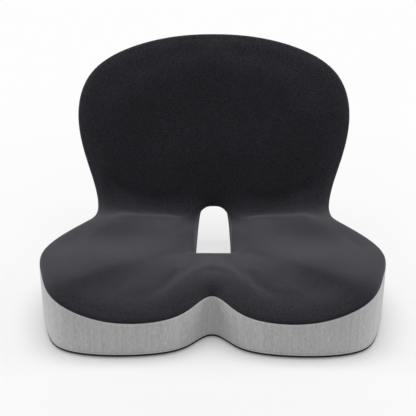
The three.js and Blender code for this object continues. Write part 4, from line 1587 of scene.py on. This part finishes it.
class CUSHION_OT_zip_pull(bpy.types.Operator):
    """Pull: a flat tab with a finger hole, on a bar between the slider's ears"""

    bl_idname = "cushion.make_zip_pull"
    bl_label = "Zip Pull"

    def execute(self, context):
        count = 96
        angle = np.arange(count) * 2 * math.pi / count
        x = TAB_MIDDLE + TAB_HALF_LENGTH * np.sign(np.cos(angle)) * np.abs(np.cos(angle)) ** 0.62
        wide = TAB_ROOT + TAB_WIDENING * smooth3((x - 4) / 7)
        rounding = (TAB_END_RADIUS**2 - (x - TAB_END_MIDDLE) ** 2) / TAB_END_FLATNESS**2
        half = np.where(x < TAB_END_MIDDLE, wide, wide * np.sqrt(np.clip(rounding, 0, 1)))
        y = np.sign(np.sin(angle)) * np.minimum(half, half * np.abs(np.sin(angle)) ** 0.35 + 0.02)
        tab = np.stack([x, y], -1)
        hole = rounded_outline(5.0, 1.9, 3.0, count) + [17.4, 0]
        points, quads = ring_plate(tab, hole, -0.62, 0.62, 0.3)
        root = np.array([SLIDER_X, 0, BAR_HEIGHT])
        parts = [(from_zip(points + root), quads)]
        parts.append(block(root, [0.78, 2.35, 0.78], 2.6, 8))
        mesh = joined("slider_pull", parts)
        add_piece("slider_pull", mesh, enamel(), "zip_pull", "zip_metal", "zip_pull")
        return {"FINISHED"}


class CUSHION_OT_care_label(bpy.types.Operator):
    """Blank satin label, sewn in at the lower edge of the zip's window"""

    bl_idname = "cushion.make_care_label"
    bl_label = "Care Label"

    def execute(self, context):
        low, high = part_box("care_label")
        middle = to_zip(np.array([(a + b) / 2 for a, b in zip(low, high)]))
        u = np.linspace(-0.5, 0.5, 23)[None]
        v = np.linspace(0, 1, 37)[:, None]
        across = middle[0] + LABEL_WIDTH * u + 0 * v
        down = middle[1] + LABEL_DROP / 2 - LABEL_DROP * v + 0 * u
        # It hangs close to the panel, bows a little across and lifts towards its free end.
        lift = 0.45 + 0.35 * smooth3(v * 3) + 1.3 * v**2 * (1 - 1.6 * u**2) + 0.25 * np.sin(7 * v + 3 * u)
        grid = np.stack([across, down, lift], -1)
        mesh = make_mesh("label_sheet", from_zip(grid.reshape(-1, 3)), grid_quads(37, 23, False))
        piece = add_piece("label_sheet", mesh, satin(), "cushion", "label_satin", "care_label")
        wall = piece.modifiers.new("cloth", "SOLIDIFY")
        wall.thickness = 0.25 * MM
        wall.offset = 1
        return {"FINISHED"}


# ---------------------------------------------------------------- operators: the stage
def add_soft_box(name, place, target, size, power):
    """A square area light that faces a target."""
    light = bpy.data.lights.new(name, "AREA")
    light.shape = "SQUARE"
    light.size = size
    light.energy = power
    box = bpy.data.objects.new(name, light)
    bpy.context.scene.collection.objects.link(box)
    box.location = place
    box.rotation_euler = (Vector(target) - Vector(place)).to_track_quat("-Z", "Y").to_euler()


class CUSHION_OT_stage(bpy.types.Operator):
    """Plain pale floor, soft studio light and the camera"""

    bl_idname = "cushion.make_stage"
    bl_label = "Stage"

    def execute(self, context):
        stage = context.scene.cushion_stage
        sides = 64
        radius = np.array([0, 0.5, 1.5, 4, 9])[:, None]
        column = np.arange(sides)
        angle = column * 2 * math.pi / sides
        disc = np.stack([radius * np.cos(angle), radius * np.sin(angle), 0 * radius + 0 * angle], -1)
        points = np.vstack([disc[0, :1], disc[1:].reshape(-1, 3)])
        fan = np.stack([0 * column, 1 + column, 1 + (column + 1) % sides], -1)
        quads = grid_quads(len(radius) - 1, sides)[:, ::-1] + 1
        mesh = make_mesh("floor", points, quads, fan)
        floor = bpy.data.objects.new("floor", mesh)
        context.scene.collection.objects.link(floor)
        mesh.materials.append(floor_paint())
        self.light(context.scene, stage)
        self.aim_camera(context.scene, stage)
        return {"FINISHED"}

    def light(self, scene, stage):
        """Even pale light from all round, a soft box above and one at each side."""
        world = bpy.data.worlds.new("studio")
        world.use_nodes = True
        sky = world.node_tree.nodes["Background"]
        sky.inputs["Color"].default_value = (1, 1, 1, 1)
        tree = world.node_tree
        seen = tree.nodes.new("ShaderNodeLightPath").outputs["Is Camera Ray"]
        strength = stretched(tree, seen, 0.0, 1.0, stage.sky, stage.backdrop)
        tree.links.new(strength, sky.inputs["Strength"])
        scene.world = world
        middle = (0, -0.02, 0.1)
        add_soft_box("overhead", (0, 0.05, 1.9), middle, 1.5, stage.overhead)
        for name, way in (("left_box", -1), ("right_box", 1)):
            add_soft_box(name, (way * 1.5, 0.0, 0.7), middle, 1.0, stage.sides)
        scene.view_settings.view_transform = "Standard"

    def aim_camera(self, scene, stage):
        """The camera looks at a point on the cushion's middle line, a little to its left."""
        turn = stage.azimuth
        right = Vector((math.cos(turn), math.sin(turn), 0))
        ahead = Vector((-math.sin(turn), math.cos(turn), 0))
        forward, to_left, height = 0.124, 0.0066, 0.1702
        target = Vector((0, -0.0017, height)) - ahead * forward - right * to_left
        back = -ahead * math.cos(stage.elevation) + Vector((0, 0, math.sin(stage.elevation)))
        lens = bpy.data.cameras.new("camera")
        lens.lens = stage.focal_length
        camera = bpy.data.objects.new("camera", lens)
        scene.collection.objects.link(camera)
        camera.location = target + back * stage.distance
        camera.rotation_euler = (-back).to_track_quat("-Z", "Y").to_euler()
        scene.camera = camera


@once
def floor_paint(name):
    """Matt white floor with the faintest unevenness, clear from below and at its rim, that glows
    with painted light.
    """
    base = bpy.context.scene.cushion_stage.floor
    material, tree, shader, place = start_material(name, Roughness=0.7, Specular_IOR_Level=0.25)
    drift = use_effect(tree, drift_effect(), Place=place["Object"], Grain=3.0)
    parts = add_node(tree, "SeparateXYZ", {0: place["Object"]})
    rearward = stretched(tree, parts.outputs[1], -0.12, 0.14)
    even = mixed(tree, drift["Mask"], shade(base, 0.995), shade(base, 1.0))
    stage = bpy.context.scene.cushion_stage
    # Painted light: the floor glows by itself, more towards the rear, which lifts the shadows under and
    # behind the cushion; its colour darkens towards the rear so that it looks as bright there as in
    # front.
    glow = stretched(tree, rearward, 0.0, 1.0, stage.glow, stage.rear_glow)
    tree.links.new(glow, shader.inputs["Emission Strength"])
    shader.inputs["Emission Color"].default_value = (1, 1, 1, 1)
    finish_material(tree, shader, mixed(tree, rearward, even, shade(base, 0.3)))
    clear = tree.nodes.new("ShaderNodeBsdfTransparent")
    both = tree.nodes.new("ShaderNodeMixShader")
    far = add_node(tree, "VectorMath", {0: place["Object"]}, operation="LENGTH").outputs["Value"]
    faded = stretched(tree, far, 0.28, 0.8)
    below = tree.nodes.new("ShaderNodeNewGeometry").outputs["Backfacing"]
    tree.links.new(sum_of(tree, "MAXIMUM", faded, below), both.inputs[0])
    tree.links.new(shader.outputs[0], both.inputs[1])
    tree.links.new(clear.outputs[0], both.inputs[2])
    tree.links.new(both.outputs[0], tree.nodes["Material Output"].inputs["Surface"])
    return material


# ---------------------------------------------------------------- the sidebar
PIECES = (
    CUSHION_OT_foam,
    CUSHION_OT_liners,
    CUSHION_OT_top_panel,
    CUSHION_OT_side_band,
    CUSHION_OT_slot_lining,
    CUSHION_OT_base_panel,
    CUSHION_OT_rear_panels,
    CUSHION_OT_grip_dots,
    CUSHION_OT_stitches,
    CUSHION_OT_zip_tapes,
    CUSHION_OT_zip_coil,
    CUSHION_OT_zip_stops,
    CUSHION_OT_zip_slider,
    CUSHION_OT_zip_pull,
    CUSHION_OT_care_label,
    CUSHION_OT_stage,
)
SETTINGS = (
    ("cushion_sizes", CushionSizes),
    ("cushion_colours", CushionColours),
    ("cushion_stage", StageSettings),
)


class CUSHION_PT_sidebar(bpy.types.Panel):
    """Lists every piece of the cushion with the sizes and colours to change"""

    bl_idname = "CUSHION_PT_sidebar"
    bl_label = "Seat Cushion"
    bl_space_type = "VIEW_3D"
    bl_region_type = "UI"
    bl_category = "Cushion"

    def draw(self, context):
        for operator in PIECES:
            self.layout.operator(operator.bl_idname)
        for name, group in SETTINGS:
            column = self.layout.box().column()
            for key in group.__annotations__:
                column.prop(getattr(context.scene, name), key)


def register():
    for name, group in SETTINGS:
        bpy.utils.register_class(group)
        setattr(bpy.types.Scene, name, PointerProperty(type=group))
    for operator in PIECES:
        bpy.utils.register_class(operator)
    bpy.utils.register_class(CUSHION_PT_sidebar)


def unregister():
    bpy.utils.unregister_class(CUSHION_PT_sidebar)
    for operator in reversed(PIECES):
        bpy.utils.unregister_class(operator)
    for name, group in reversed(SETTINGS):
        delattr(bpy.types.Scene, name)
        bpy.utils.unregister_class(group)


def main():
    """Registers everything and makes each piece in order."""
    register()
    for operator in PIECES:
        getattr(bpy.ops.cushion, operator.bl_idname.split(".")[1])()


if __name__ == "__main__":
    main()
